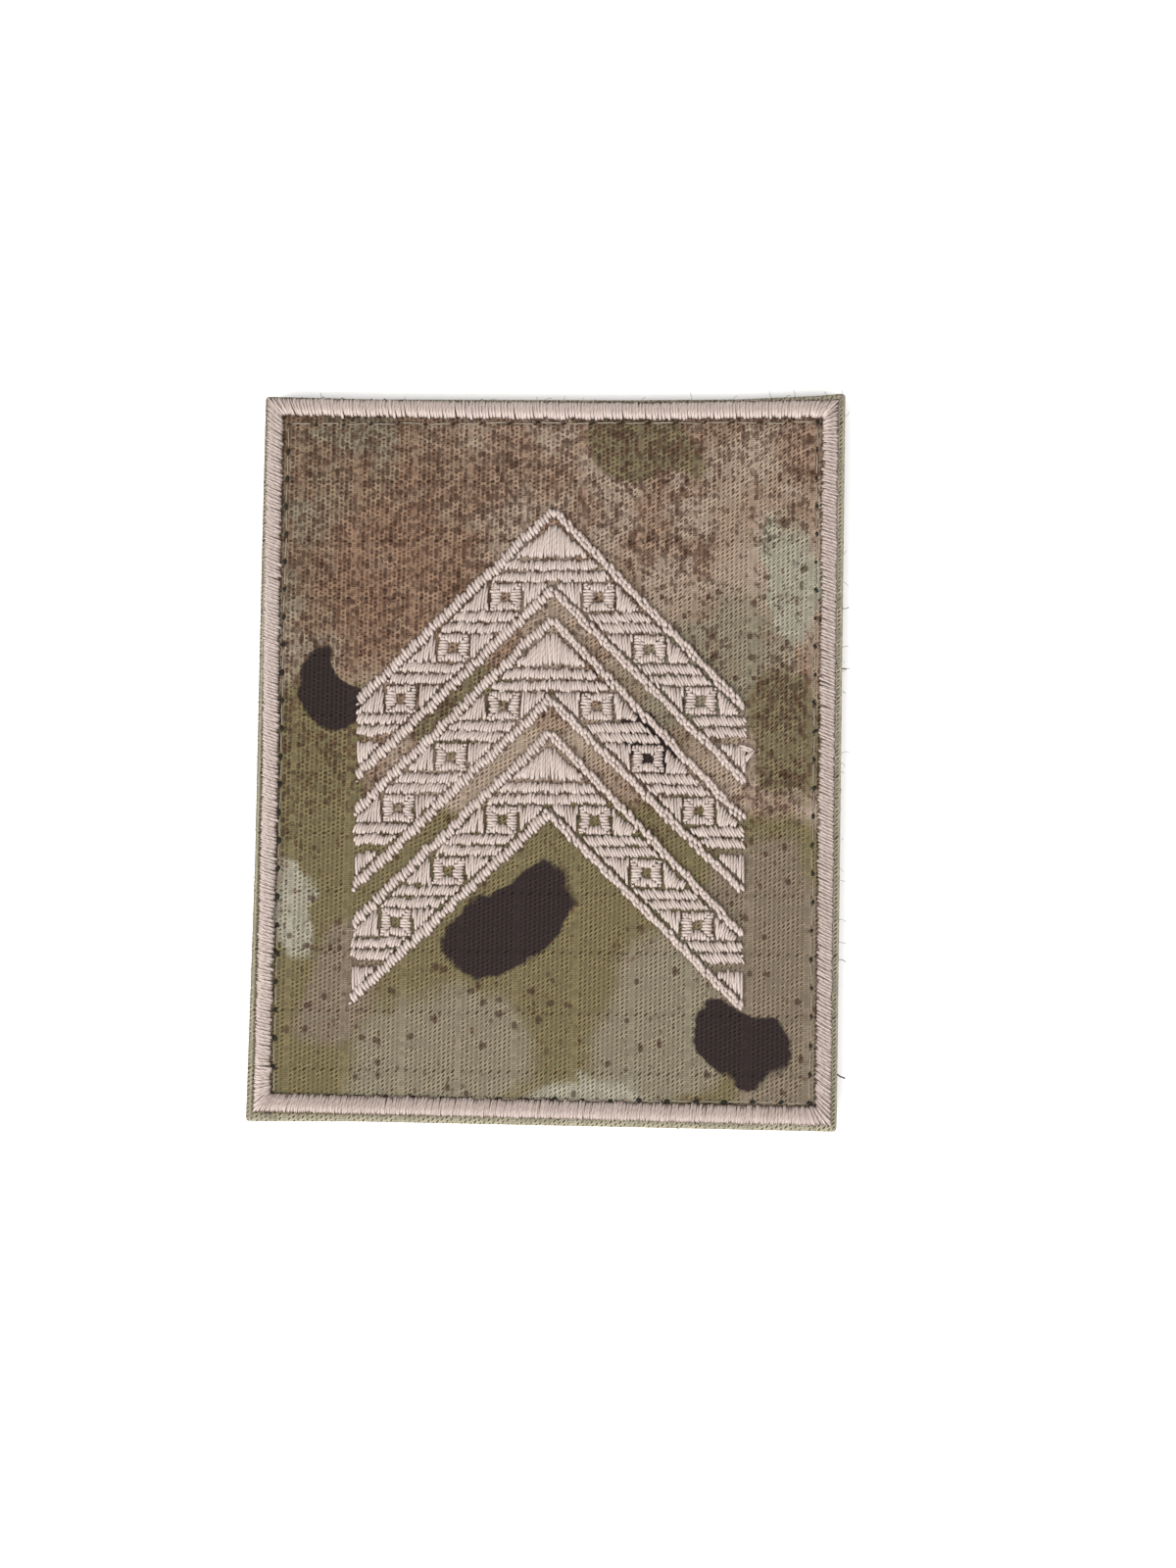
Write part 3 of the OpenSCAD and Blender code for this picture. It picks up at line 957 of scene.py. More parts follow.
def make_cloth_panel():
    """A grid, pulled to the outline of the patch and thickened."""
    panel = bmesh.new()
    across, up = PANEL_CELLS
    bmesh.ops.create_grid(panel, x_segments=across, y_segments=up, size=1.0)
    for corner in panel.verts:
        x, y = on_outline(corner.co.x, corner.co.y)
        corner.co = (x * MM, y * MM, FACE_Z * MM)
    thicken(panel, CLOTH_T, FACE_Z, PANEL_ROUNDING, segments=4)
    # Only the upper face is drawn down
    for corner in panel.verts:
        if corner.co.z > (FACE_Z - 0.01) * MM:
            corner.co.z -= pucker(corner.co.x / MM, corner.co.y / MM) * MM
    return finish_piece("printed_cloth", panel, printed_cloth_material)


printed_cloth = make_cloth_panel()
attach(printed_cloth, "root")
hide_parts("cloth_panel")
print("cloth panel has", len(printed_cloth.data.polygons), "faces")

# %% [markdown]
# ## Satin border
# The border is one long zigzag of thread: out to an outer line and back to an inner line. It
# could be a plain tube with ridges in its shader, but its edges show single threads, so each
# one is laid as a stitch. First come the two lines. They are the ones the solid border has.

# %% Set out the lines of the border
# Share of the half sizes, distance in from there, and width up to the next row
BORDER_ROWS = [
    (-1, 1, 1.55, 1.65, 2.45),
    (-0.38, 1, 0, 2.15, 2.45),
    (0.3, 1, 0, 2.5, 2.45),
    (1, 1, 1.9, 2.2, 2.15),
    (1, -1, 1.85, 1.97, 2.55),
    (-0.25, -1, 0, 2.4, 2.55),
    (-1, -1, 2.2, 2.62, 2.3),
    (-1, -0.1, 2.2, 0, 2.3),
    (-1, 0.44, 1.72, 0, 2.3),
]


def border_middle(row):
    """Point of the middle line of the border."""
    share_x, share_y, in_x, in_y, _ = row
    return Vector((
        share_x * PATCH_HALF_W - math.copysign(in_x, share_x) * (in_x > 0),
        share_y * PATCH_HALF_H - math.copysign(in_y, share_y) * (in_y > 0),
    ))


def outward(a, b):
    """Direction out of the patch from the run between two points, walked clockwise."""
    run = (b - a).normalized()
    return Vector((-run.y, run.x))


def mitre(path, i, before, after):
    """Corner where the offsets of the runs before and after point i cross."""
    a, b, c = path[i - 1], path[i], path[(i + 1) % len(path)]
    run_in, run_out = (b - a).normalized(), (c - b).normalized()
    start = b + before * outward(a, b)
    target = b + after * outward(b, c)
    turn = run_in.x * run_out.y - run_in.y * run_out.x
    gap = target - start
    if abs(turn) < 1e-6:
        return start
    return start + run_in * ((gap.x * run_out.y - gap.y * run_out.x) / turn)


def border_lines():
    """Corners of the outer and the inner line of the border, clockwise."""
    path = [border_middle(row) for row in BORDER_ROWS]
    half = [row[4] / 2 for row in BORDER_ROWS]
    outer = [mitre(path, i, half[i - 1], half[i]) for i in range(len(path))]
    inner = [mitre(path, i, -half[i - 1], -half[i]) for i in range(len(path))]
    return outer, inner


def point_ahead(line, ahead, distance):
    """Point of a line at a distance measured along the direction ahead."""
    along = [corner.dot(ahead) for corner in line]
    return Vector((np.interp(distance, along, [corner.x for corner in line]),
                   np.interp(distance, along, [corner.y for corner in line])))


outer_corners, inner_corners = border_lines()
print("the border turns at", len(outer_corners), "points")

# %% [markdown]
# The threads come in pairs that run together towards the inner line, so that edge shows teeth.
# The one that goes back lies a little lower and is painted darker than the other, as the shade
# of a thread that catches less light. They lean a little along each side, and each side is
# painted lighter or darker as the light falls on it. At the corners they fan out from the inner
# corner, and there they are fewer, thicker and more uneven.

# %% Sew the border
# First and last row of each side, direction of the sewing, how far the inner end of a stitch
# is ahead of its outer end where the side starts and where it stops, distance from needle
# hole to needle hole, and the painted light and shade of the threads that go back and of those
# that go out, where 0 to 1 is the usual range
BORDER_SIDES = [
    {"rows": (0, 3), "ahead": (1, 0), "lean": (0.5, 0.3), "pitch": 0.44, "tones": (0.8, 1.4)},
    {"rows": (3, 4), "ahead": (0, -1), "lean": (-0.45, -1.05), "pitch": 0.47, "tones": (0.05, 1.1)},
    {"rows": (4, 6), "ahead": (-1, 0), "lean": (-0.1, -0.3), "pitch": 0.43, "tones": (0.2, 0.5)},
    {"rows": (6, 9), "ahead": (0, 1), "lean": (-0.4, -0.85), "pitch": 0.46, "tones": (0.55, 1.15)},
]
# Distance from a corner at which its fan has fallen to about a third
BORDER_FAN = 3.0
# How much the shade varies from thread to thread, and how much wider the threads lie apart,
# and differ, right in a corner
TONE_SPREAD = 0.35
FAN_SPREAD = 1.1
# How far each thread of a pair is ahead at the outer and at the inner line, in pitches
PAIR_STEPS = ((0, 0), (0.6, 0.3))
# Mean and spread of how far a stitch reaches past the outer and past the inner line, and how
# much its place along the inner line varies
HEAD_OVER = (-0.03, 0.07)
FOOT_OVER = (0.06, 0.11)
FOOT_SPREAD = 0.05
BORDER_RISE = 0.52
# Width of a thread as a share of the pitch
THREAD_COVER = 0.86
THREAD_T = 0.27
# How deep below the face a stitch starts
PLUNGE = 0.06


def border_stitches():
    """All stitches of the border, pair by pair, clockwise from the upper left corner."""
    dice = random.Random(11)
    count = len(BORDER_ROWS)
    stitches = []
    for side in BORDER_SIDES:
        first, last = side["rows"]
        ahead = Vector(side["ahead"])
        outer_line = [outer_corners[i % count] for i in range(first, last + 1)]
        inner_line = [inner_corners[i % count] for i in range(first, last + 1)]
        start, stop = outer_line[0].dot(ahead), outer_line[-1].dot(ahead)
        lead = inner_line[0].dot(ahead) - start
        trail = stop - inner_line[-1].dot(ahead)
        place = start
        while place < stop:
            first_fan = math.exp(-(place - start) / BORDER_FAN)
            last_fan = math.exp(-(stop - place) / BORDER_FAN)
            middle = (1 - first_fan) * (1 - last_fan)
            shift = lead * first_fan - trail * last_fan
            lean = float(np.interp(place, (start, stop), side["lean"]))
            target = place + shift + lean * middle + dice.gauss(0, FOOT_SPREAD)
            spread = 1 + FAN_SPREAD * (1 - middle)
            pitch = side["pitch"] * spread * dice.uniform(0.85, 1.15)
            foot_over = dice.gauss(*FOOT_OVER)
            uneven = TONE_SPREAD * spread
            for (outer_step, inner_step), tone in zip(PAIR_STEPS, side["tones"]):
                head = point_ahead(outer_line, ahead, min(place + outer_step * pitch, stop))
                foot = point_ahead(inner_line, ahead, target + inner_step * pitch)
                out = (head - foot).normalized()
                head_over = dice.gauss(*HEAD_OVER)
                upright = abs(out.x * ahead.y - out.y * ahead.x)
                cover = THREAD_COVER * math.sqrt(spread) * dice.uniform(0.95, 1.05)
                width = side["pitch"] * upright * cover
                # Painted light and shade: each thread of a pair, and each side, gets the shade that
                # the light would give it
                shade = tone + dice.uniform(-uneven, uneven)
                stitches.append((*(head + out * head_over), *(foot - out * foot_over), width, shade))
            place += pitch
    return stitches


border_rows = border_stitches()
satin_border = sew("satin_border", [{
    "stitches": border_rows, "level": FACE_Z - PLUNGE, "thickness": THREAD_T,
    "rise": BORDER_RISE + PLUNGE, "bow": 3.0, "pinch": 0.15,
}], border_thread)
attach(satin_border, "root")
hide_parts("border")

# %% Open the needle holes
NEEDLE_HOLE_LENGTH = 0.34
NEEDLE_HOLE_W = 0.24
# Every how many threads a foot shows its hole, and how many heads do for one foot that does
FOOT_HOLE_EVERY = 2.2
HEAD_HOLES = 0.45


def needle_holes(rows, dice):
    """Short marks of painted shade where the needle went in: at the foot of some stitches, and
    more rarely at the head."""
    holes = []
    foot_chance = 1 / FOOT_HOLE_EVERY
    head_chance = HEAD_HOLES / FOOT_HOLE_EVERY
    for row in rows:
        head, foot = Vector(row[0:2]), Vector(row[2:4])
        ahead = (foot - head).normalized()
        for place, way, chance in ((foot, ahead, foot_chance), (head, -ahead, head_chance)):
            if dice.random() < chance:
                start = place - way * NEEDLE_HOLE_LENGTH * 0.55
                end = place + way * NEEDLE_HOLE_LENGTH * dice.uniform(0.3, 0.5)
                width = NEEDLE_HOLE_W * dice.uniform(0.7, 1.2)
                holes.append((*start, *end, width, dice.random()))
    return holes


# Painted shade in the needle holes along the border
border_hole_shade = sew("border_needle_hole_shade", [{
    "stitches": needle_holes(border_rows[::2], random.Random(12)), "level": FACE_Z - 0.12,
    "thickness": 0.16, "rise": 0.06, "bow": 2.0,
}], hole_shade)
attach(border_hole_shade, "root")

# %% [markdown]
# ## Padding
# Under the satin lies a first layer of flat stitches that nobody sees. It keeps the cloth from
# showing between the threads, and its thread is painted dark, as the shade in the gaps between
# the stitches. The solids of the frame have just that shape, so the padding is a copy of them,
# merged, drawn in by a little less than a thread and pressed flat.

# %% Press the padding
# The padding thread is painted dark, as the shade between the stitches above it
padding_shade_thread = make_thread("padding_shade_thread", colour(112, 101, 93), colour(84, 74, 67), 0.7, 0.1)


def press_padding(name, nodes, draw_in, keep_height):
    """A thin copy of some solids, drawn in and pressed towards the cloth."""
    shape = bmesh.new()
    for node in nodes:
        shape.from_mesh(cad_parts[node].data)
    bmesh.ops.remove_doubles(shape, verts=shape.verts, dist=0.001 * MM)
    bmesh.ops.recalc_face_normals(shape, faces=shape.faces)
    shape.normal_update()
    steps = [(corner, corner.normal.copy()) for corner in shape.verts]
    for corner, normal in steps:
        corner.co -= normal * draw_in * MM
        corner.co.z = FACE_Z * MM + (corner.co.z - FACE_Z * MM) * keep_height
    piece = finish_piece(name, shape, padding_shade_thread)
    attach(piece, "root")
    print(name, "has", len(piece.data.polygons), "faces")


press_padding("border_padding", ["border"], 0.3, 0.6)

# %% [markdown]
# ## Lace of the chevrons
# Each chevron is a band of lace between two rows of short slanting stitches. The lace is built
# of small flat fields: a cap, bars, squares with an open middle, wedges, leaves and a corner at
# each end. Each field is an outline with a stitch direction, and is filled with chords of that
# outline. The outlines follow the same named sizes as the solids.

# %% Fill an outline with stitches
# A shorter chord gets no stitch, in millimetres
LEAST_CHORD = 0.2
# The stitches sway along their direction: how much of the last sway each keeps, and how much
# of its looseness it adds
SWAY_KEPT = 0.85
SWAY_ADDED = 0.35


def chord(outline, point, heading):
    """Ends of the line through a point that lie on an outline, or None."""
    hits = []
    for i, a in enumerate(outline):
        b = outline[(i + 1) % len(outline)]
        edge = (b[0] - a[0], b[1] - a[1])
        bend = heading[0] * edge[1] - heading[1] * edge[0]
        if abs(bend) < 1e-9:
            continue
        gap = (a[0] - point[0], a[1] - point[1])
        along = (gap[0] * edge[1] - gap[1] * edge[0]) / bend
        share = (gap[0] * heading[1] - gap[1] * heading[0]) / bend
        if -1e-9 <= share <= 1 + 1e-9:
            hits.append(along)
    if len(hits) < 2:
        return None
    return min(hits), max(hits)


def fill(outline, angle, dice, pitch=0.36, fan=0.0, pair=0.0, width=0.47, over=0.25,
         loose=0.14, stray=2.5):
    """Stitches across an outline. angle is their direction in degrees, fan how much it turns
    from the middle to either end, pair how much every second gap is wider, over how far a
    stitch reaches past the outline, loose how much that varies, and stray how many degrees
    a stitch lies off its direction."""
    heading = Vector((math.cos(math.radians(angle)), math.sin(math.radians(angle))))
    across = heading.orthogonal()
    reach = [Vector(corner).dot(across) for corner in outline]
    depth = [Vector(corner).dot(heading) for corner in outline]
    low, high, centre = min(reach), max(reach), (min(depth) + max(depth)) / 2
    stitches = []
    place = low + pitch * 0.45
    count, sway = 0, 0.0
    while place < high - pitch * 0.2:
        share = 2 * (place - low) / (high - low) - 1
        point = across * place + heading * centre
        ends = chord(outline, point, heading)
        if ends and ends[1] - ends[0] > LEAST_CHORD:
            middle = point + heading * (sum(ends) / 2)
            half = (ends[1] - ends[0]) / 2 + over
            turned = math.radians(angle + fan * share + dice.gauss(0, stray))
            ahead = Vector((math.cos(turned), math.sin(turned)))
            sway = SWAY_KEPT * sway + dice.gauss(0, SWAY_ADDED * loose)
            a = middle + ahead * (sway - half + dice.gauss(0, loose))
            b = middle + ahead * (sway + half + dice.gauss(0, loose))
            stitches.append((*a, *b, width * dice.uniform(0.9, 1.1), dice.random()))
        count += 1
        place += pitch * (1 + (pair if count % 2 else -pair)) * dice.uniform(0.93, 1.07)
    return stitches


# %% Set out a chevron
# Heights are measured downwards from the tip, and distances across from the middle line
CHEVRON_X = 0.5
# Height of the band at the middle line, and how far above the blunt tip its outer edges
# would meet
CHEVRON_H = 12.2
TIP_HALF = 0.6
# Width of the edging, square to its edge, and height of the gap between it and the lace
EDGING_W = 1.25
EDGING_GAP = 0.45
# Half width of the cap's flat top, and how far down the cap starts and ends
CAP_HALF = 0.6
CAP_ROW = (2.5, 6.6)
# How far down the bars under the cap lie, and the bars under each square from its top
TOP_BARS = [(7.3, 8.35), (8.95, 10)]
ARM_BARS = [(4.1, 5.15), (5.6, 6.65)]
# Squares and their open middles, the place of the first one, and the step to the next
SQUARE_W, SQUARE_H = 4.05, 3.65
HOLE_W, HOLE_H = 1.45, 1.5
FIRST_SQUARE_DOWN = 10.4
FIRST_SQUARE_ACROSS = 4.35
SQUARE_GAP = 0.4
LACE_STEP = 7.05
REPEATS = 3
END_CORNER_DOWN = 32.4
# The arms differ a little: how far their edges fall per millimetre, how much lower their lace
# lies, and the directions of their stitches in degrees
ARMS = [
    {"side": -1, "length": 26.4, "fall": 1, "lower_fall": 0.97, "drop": 0,
     "wedge_angle": 79, "wedge_fan": -9, "leaf_angle": 84, "bar_angle": 72},
    {"side": 1, "length": 26.6, "fall": 1.025, "lower_fall": 0.977, "drop": 0.05,
     "wedge_angle": 77, "wedge_fan": 15, "leaf_angle": 99, "bar_angle": 122},
]
TIPS = {"top": 34.1, "middle": 19.1, "bottom": 3.6}


def edging_up(fall):
    """Height of the edging on an edge that falls by fall per millimetre, measured upwards."""
    return EDGING_W * math.hypot(1, fall)


def outer_y(tip, arm, across):
    """Height of the outer edge of a chevron."""
    return tip + TIP_HALF - arm["fall"] * across


def lower_y(tip, arm, across):
    """Height of the lower edge of a chevron."""
    return tip - CHEVRON_H - arm["lower_fall"] * across


def lace_top(tip, arm, across):
    """Height at which the lace ends below the outer edging."""
    return outer_y(tip, arm, across) - edging_up(arm["fall"]) - EDGING_GAP


def lace_foot(tip, arm, across):
    """Height at which the lace ends above the lower edging."""
    return lower_y(tip, arm, across) + edging_up(arm["lower_fall"]) + EDGING_GAP


def lace_outer(tip, arm, y):
    """Distance across at which the lace ends below the outer edging, at a height."""
    return (lace_top(tip, arm, 0) - y) / arm["fall"]


def lace_lower(tip, arm, y):
    """Distance across at which the lace ends above the lower edging, at a height."""
    return (lace_foot(tip, arm, 0) - y) / arm["lower_fall"]


def spot(arm, across, y):
    """Place on the patch of a point of an arm."""
    return (CHEVRON_X + arm["side"] * across, y)


print("chevrons with tips at", list(TIPS.values()), "mm")

# %% [markdown]
# The short stitches of the edgings all point nearly the same way. On the left arms that is
# across the edge, and one row is enough. On the right arms it is nearly along the edge, so two
# rows lie side by side there, half a step apart, like a braid.

# %% Sew the edging
EDGING_ANGLE = -62
# Distance from stitch to stitch of the braid, direction of the stitches, and how far the rows
# lie from their middle line
NUB_STEP = 0.48
NUB_ANGLE = -68
NUB_SHIFT = 0.2
# Least and greatest half length and width of a stitch of the braid
NUB_HALF = (0.5, 0.7)
NUB_W = (0.58, 0.72)


def edging_outline(arm, high, fall, tip):
    """Outline of one run of edging, blunt where it is higher than the tip."""
    up = edging_up(fall)
    end = high - fall * arm["length"]
    top = [spot(arm, 0, high)]
    if high > tip:
        top = [spot(arm, 0, tip), spot(arm, (high - tip) / fall, tip)]
    return top + [spot(arm, arm["length"], end), spot(arm, arm["length"], end - up),
                  spot(arm, 0, high - up)]


def sew_braid(arm, high, fall, dice):
    """Two rows of short steep stitches down an arm, the one half a step behind the other."""
    stitches = []
    side = Vector((fall, 1)).normalized()
    for row in (-1, 1):
        across = NUB_STEP * (0.5 if row < 0 else 1.0)
        while across < arm["length"] - 0.2:
            middle = Vector(spot(arm, across, high - fall * across - edging_up(fall) / 2))
            middle += side * dice.gauss(row * NUB_SHIFT, 0.1)
            angle = math.radians(dice.gauss(NUB_ANGLE, 8))
            half = Vector((math.cos(angle), math.sin(angle))) * dice.uniform(*NUB_HALF)
            stitches.append((*(middle - half), *(middle + half), dice.uniform(*NUB_W),
                             dice.random()))
            across += NUB_STEP * dice.uniform(0.85, 1.15)
    return stitches


def sew_edging(tip, dice):
    """Outer and lower edging of both arms of a chevron."""
    stitches = []
    for arm in ARMS:
        low = lower_y(tip, arm, 0) + edging_up(arm["lower_fall"])
        runs = [(outer_y(tip, arm, 0), arm["fall"], tip), (low, arm["lower_fall"], low)]
        for high, fall, blunt in runs:
            if arm["side"] > 0:
                stitches += sew_braid(arm, high, fall, dice)
                continue
            outline = edging_outline(arm, high, fall, blunt)
            stitches += fill(outline, EDGING_ANGLE, dice, pitch=0.5, pair=0.06, width=0.66,
                             over=0.16, stray=5)
    return stitches


# %% Sew a square
# How much the stitches of a side turn towards the mitres, in degrees
SQUARE_FAN = 12


def sew_square(arm, across, high, dice):
    """Four mitred sides round an open middle, each with stitches straight across it."""
    low, mid_x, mid_y = high - SQUARE_H, across + SQUARE_W / 2, high - SQUARE_H / 2
    outer = [spot(arm, across, high), spot(arm, across + SQUARE_W, high),
             spot(arm, across + SQUARE_W, low), spot(arm, across, low)]
    inner = [spot(arm, mid_x + sx * HOLE_W / 2, mid_y + sy * HOLE_H / 2)
             for sx, sy in ((-1, 1), (1, 1), (1, -1), (-1, -1))]
    upright, level = SQUARE_FAN, SQUARE_FAN * arm["side"]
    stitches = []
    for i, (angle, fan) in enumerate(((90, upright), (0, level), (90, -upright), (0, -level))):
        after = (i + 1) % 4
        outline = [outer[i], outer[after], inner[after], inner[i]]
        stitches += fill(outline, angle, dice, pitch=0.4, fan=fan, width=0.5, over=0.12,
                         loose=0.09, stray=3)
    return stitches


# %% Sew an arm of the lace
def wedge_outline(tip, arm, near, low):
    """Field between a square and the outer edging, cut off where the arm ends."""
    end = arm["length"]
    foot = lace_outer(tip, arm, low)
    tail = [spot(arm, foot, low)]
    if foot > end:
        tail = [spot(arm, end, lace_top(tip, arm, end)), spot(arm, end, low)]
    return [spot(arm, near, low), spot(arm, near, lace_top(tip, arm, near))] + tail


def leaf_outline(tip, arm, inside, high):
    """Field with three corners between a square and the lower edging."""
    return [spot(arm, inside, high), spot(arm, inside, lace_foot(tip, arm, inside)),
            spot(arm, lace_lower(tip, arm, high), high)]


def bar_outline(tip, arm, top_y, low_y):
    """Level bar from the lower to the outer edging, cut off where the arm ends."""
    end = arm["length"]
    return [spot(arm, lace_lower(tip, arm, top_y), top_y),
            spot(arm, min(lace_outer(tip, arm, top_y), end), top_y),
            spot(arm, min(lace_outer(tip, arm, low_y), end), low_y),
            spot(arm, lace_lower(tip, arm, low_y), low_y)]


def sew_arm(tip, arm, dice):
    """Squares, each with a wedge, a leaf and two bars, and the corner at the end."""
    stitches = []
    for k in range(REPEATS):
        high = tip - FIRST_SQUARE_DOWN - k * LACE_STEP - arm["drop"]
        across = FIRST_SQUARE_ACROSS + k * LACE_STEP
        stitches += sew_square(arm, across, high, dice)
        wedge = wedge_outline(tip, arm, across + SQUARE_W + SQUARE_GAP, high - SQUARE_H)
        stitches += fill(wedge, arm["wedge_angle"], dice, fan=arm["wedge_fan"])
        leaf = leaf_outline(tip, arm, across - SQUARE_GAP, high)
        stitches += fill(leaf, arm["leaf_angle"], dice, fan=8)
        for down, bottom in ARM_BARS:
            bar = bar_outline(tip, arm, high - down, high - bottom)
            stitches += fill(bar, arm["bar_angle"], dice, stray=4)
    high = tip - END_CORNER_DOWN - arm["drop"]
    end = arm["length"]
    corner = [spot(arm, lace_lower(tip, arm, high), high), spot(arm, end, high),
              spot(arm, end, lace_foot(tip, arm, end))]
    return stitches + fill(corner, 92, dice)


# %% Sew the lace of a chevron
def sew_lace(tip, dice):
    """Cap and bars across the middle, and both arms."""
    left, right = ARMS
    high, low = tip - CAP_ROW[0], tip - CAP_ROW[1]
    cap = [(CHEVRON_X - CAP_HALF, high), (CHEVRON_X + CAP_HALF, high),
           spot(right, lace_outer(tip, right, low), low),
           spot(left, lace_outer(tip, left, low), low)]
    stitches = fill(cap, 90, dice, pitch=0.33, fan=-14, width=0.5)
    for down, bottom in TOP_BARS:
        top_y, low_y = tip - down, tip - bottom
        bar = [spot(left, lace_outer(tip, left, top_y), top_y),
               spot(right, lace_outer(tip, right, top_y), top_y),
               spot(right, lace_outer(tip, right, low_y), low_y),
               spot(left, lace_outer(tip, left, low_y), low_y)]
        stitches += fill(bar, 90, dice, fan=-24, stray=4)
    for arm in ARMS:
        stitches += sew_arm(tip, arm, dice)
    return stitches


# %% Sew the three chevrons
LACE_RISE = 0.3
for number, (title, tip) in enumerate(TIPS.items()):
    dice = random.Random(20 + number)
    edging = {"stitches": sew_edging(tip, dice), "level": FACE_Z - PLUNGE,
              "thickness": 0.4, "rise": LACE_RISE + PLUNGE, "bow": 2.4, "pinch": 0.3}
    lace = {"stitches": sew_lace(tip, dice), "level": FACE_Z - PLUNGE,
            "thickness": 0.27, "rise": LACE_RISE + PLUNGE, "bow": 3.2}
    chevron = sew(f"chevron_{title}_stitches", [edging, lace], satin_thread)
    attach(chevron, "root")
    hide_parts(f"chevron_{title}_edging", f"chevron_{title}_lace")
    press_padding(f"chevron_{title}_padding", [f"chevron_{title}_lace"], 0.28, 0.35)
    press_padding(f"chevron_{title}_cord", [f"chevron_{title}_edging"], 0.4, 0.3)

# %% [markdown]
# ## Seam of the hook tape
# A seam just inside the border holds the tape on the back. Its thread matches the cloth, so it
# shows as small dark knots where the needle went in, with paler dashes between them.

# %% Sew the seam
SEAM_PITCH = 3.77
# The left run leans outwards to its top by this much
SEAM_LEAN = 0.35
KNOT_LENGTH = 0.68
KNOT_W = 0.52
DASH_W = 0.24
# A dash starts and ends this share of a knot away from the needle hole
DASH_CLEAR = 0.55
# How far the needle misses the line
SEAM_STRAY = 0.06
# How pale the dashes are and how large the knots, on the top, right, bottom and left runs
DASH_PALENESS = (0.45, 0.5, 0.6, 0.4)
KNOT_SIZE = (0.6, 0.9, 1.15, 1.15)
# Height of the underside of the tape, where the seam comes out
BACK_Z = 0.9


def seam_places():
    """Start, end and number of stitches of the seam's four runs."""
    corners = [Vector((SEAM_LEFT - SEAM_LEAN, SEAM_TOP)), Vector((SEAM_RIGHT, SEAM_TOP)),
               Vector((SEAM_RIGHT, SEAM_BOTTOM)), Vector((SEAM_LEFT, SEAM_BOTTOM))]
    for i, a in enumerate(corners):
        b = corners[(i + 1) % 4]
        yield a, b, round((b - a).length / SEAM_PITCH)


def seam_stitches():
    """Rows of the pale dashes and of the dark knots."""
    dice = random.Random(31)
    dashes, knots = [], []
    for (a, b, count), paleness, knot_size in zip(seam_places(), DASH_PALENESS, KNOT_SIZE):
        run = (b - a).normalized()
        step = (b - a).length / count
        side = Vector((-run.y, run.x))
        clear = KNOT_LENGTH * DASH_CLEAR
        for k in range(count):
            here = a + run * (k * step) + side * dice.gauss(0, SEAM_STRAY)
            start = here + run * clear
            end = a + run * ((k + 1) * step - clear) + side * dice.gauss(0, SEAM_STRAY)
            tone = paleness + dice.uniform(-0.15, 0.15)
            dashes.append((*start, *end, DASH_W * dice.uniform(0.85, 1.15), tone))
            tilt = side * dice.gauss(0.06, 0.12)
            size = knot_size * dice.uniform(0.85, 1.15)
            reach = run * (KNOT_LENGTH / 2 * size) + tilt
            knots.append((*(here - reach), *(here + reach), KNOT_W * size, dice.random()))
    return dashes, knots


dash_rows, knot_rows = seam_stitches()
seam_dashes = sew("seam_dashes", [
    {"stitches": dash_rows, "level": FACE_Z - 0.17, "thickness": 0.14, "rise": 0.09,
     "bow": 3.0},
    {"stitches": dash_rows, "level": BACK_Z + 0.03, "thickness": 0.22, "rise": -0.1,
     "bow": 3.0},
], seam_thread)
seam_knots = sew("seam_knots", [
    {"stitches": knot_rows, "level": FACE_Z - 0.14, "thickness": 0.2, "rise": 0.06,
     "bow": 2.0},
], knot_thread)
for seam_piece in (seam_dashes, seam_knots):
    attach(seam_piece, "root")

# %% [markdown]
# ## Loose ends
# Nothing that is sewn and cut is quite tidy. A few slack stitches stand out beside the right
# end of the upper chevron, dark thread ends stick out at the right edge, and fine fuzz stands
# along the fold. The ends and the fuzz are chains of short beads, which costs no new shape:
# the chain turns a little with every bead.

# %% Leave loose threads and fuzz
def curl(place, heading, turn, length, width, dice, links=7):
    """A chain of short stitches from a place, whose heading turns by turn in all (degrees)."""
    rows = []
    place, angle = Vector(place), math.radians(heading)
    for _ in range(links):
        link = Vector((math.cos(angle), math.sin(angle))) * length / links
        rows.append((*(place - link * 0.25), *(place + link * 1.25), width, dice.random()))
        place = place + link
        angle += math.radians(turn / links)
    return rows


def edge_fuzz(count, dice):
    """Fine fibres that stand out from the fold, all round the patch."""
    rows = []
    for _ in range(count):
        u, v = dice.uniform(-1, 1), dice.choice((-1, 1))
        if dice.random() < 0.5:
            u, v = v, u
        x, y = on_outline(u, v)
        outward_angle = 90 * v if abs(v) == 1 else (0 if u > 0 else 180)
        heading = outward_angle + dice.gauss(0, 45)
        rows += curl((x * 0.996, y * 0.997), heading, dice.gauss(0, 60), dice.uniform(0.5, 1.3),
                     dice.uniform(0.04, 0.07), dice, links=3)
    return rows


FUZZ_COUNT = 90
# Start of each cut end at the right edge, heading and turn in degrees, length and width
CUT_ENDS = [
    ((39.5, -42.1), -38, 25, 1.6, 0.24), ((39.6, 12.0), 30, -40, 1.0, 0.12),
    ((39.7, 20.5), -20, 60, 1.1, 0.1), ((39.6, -27.2), 25, -70, 1.3, 0.1),
]
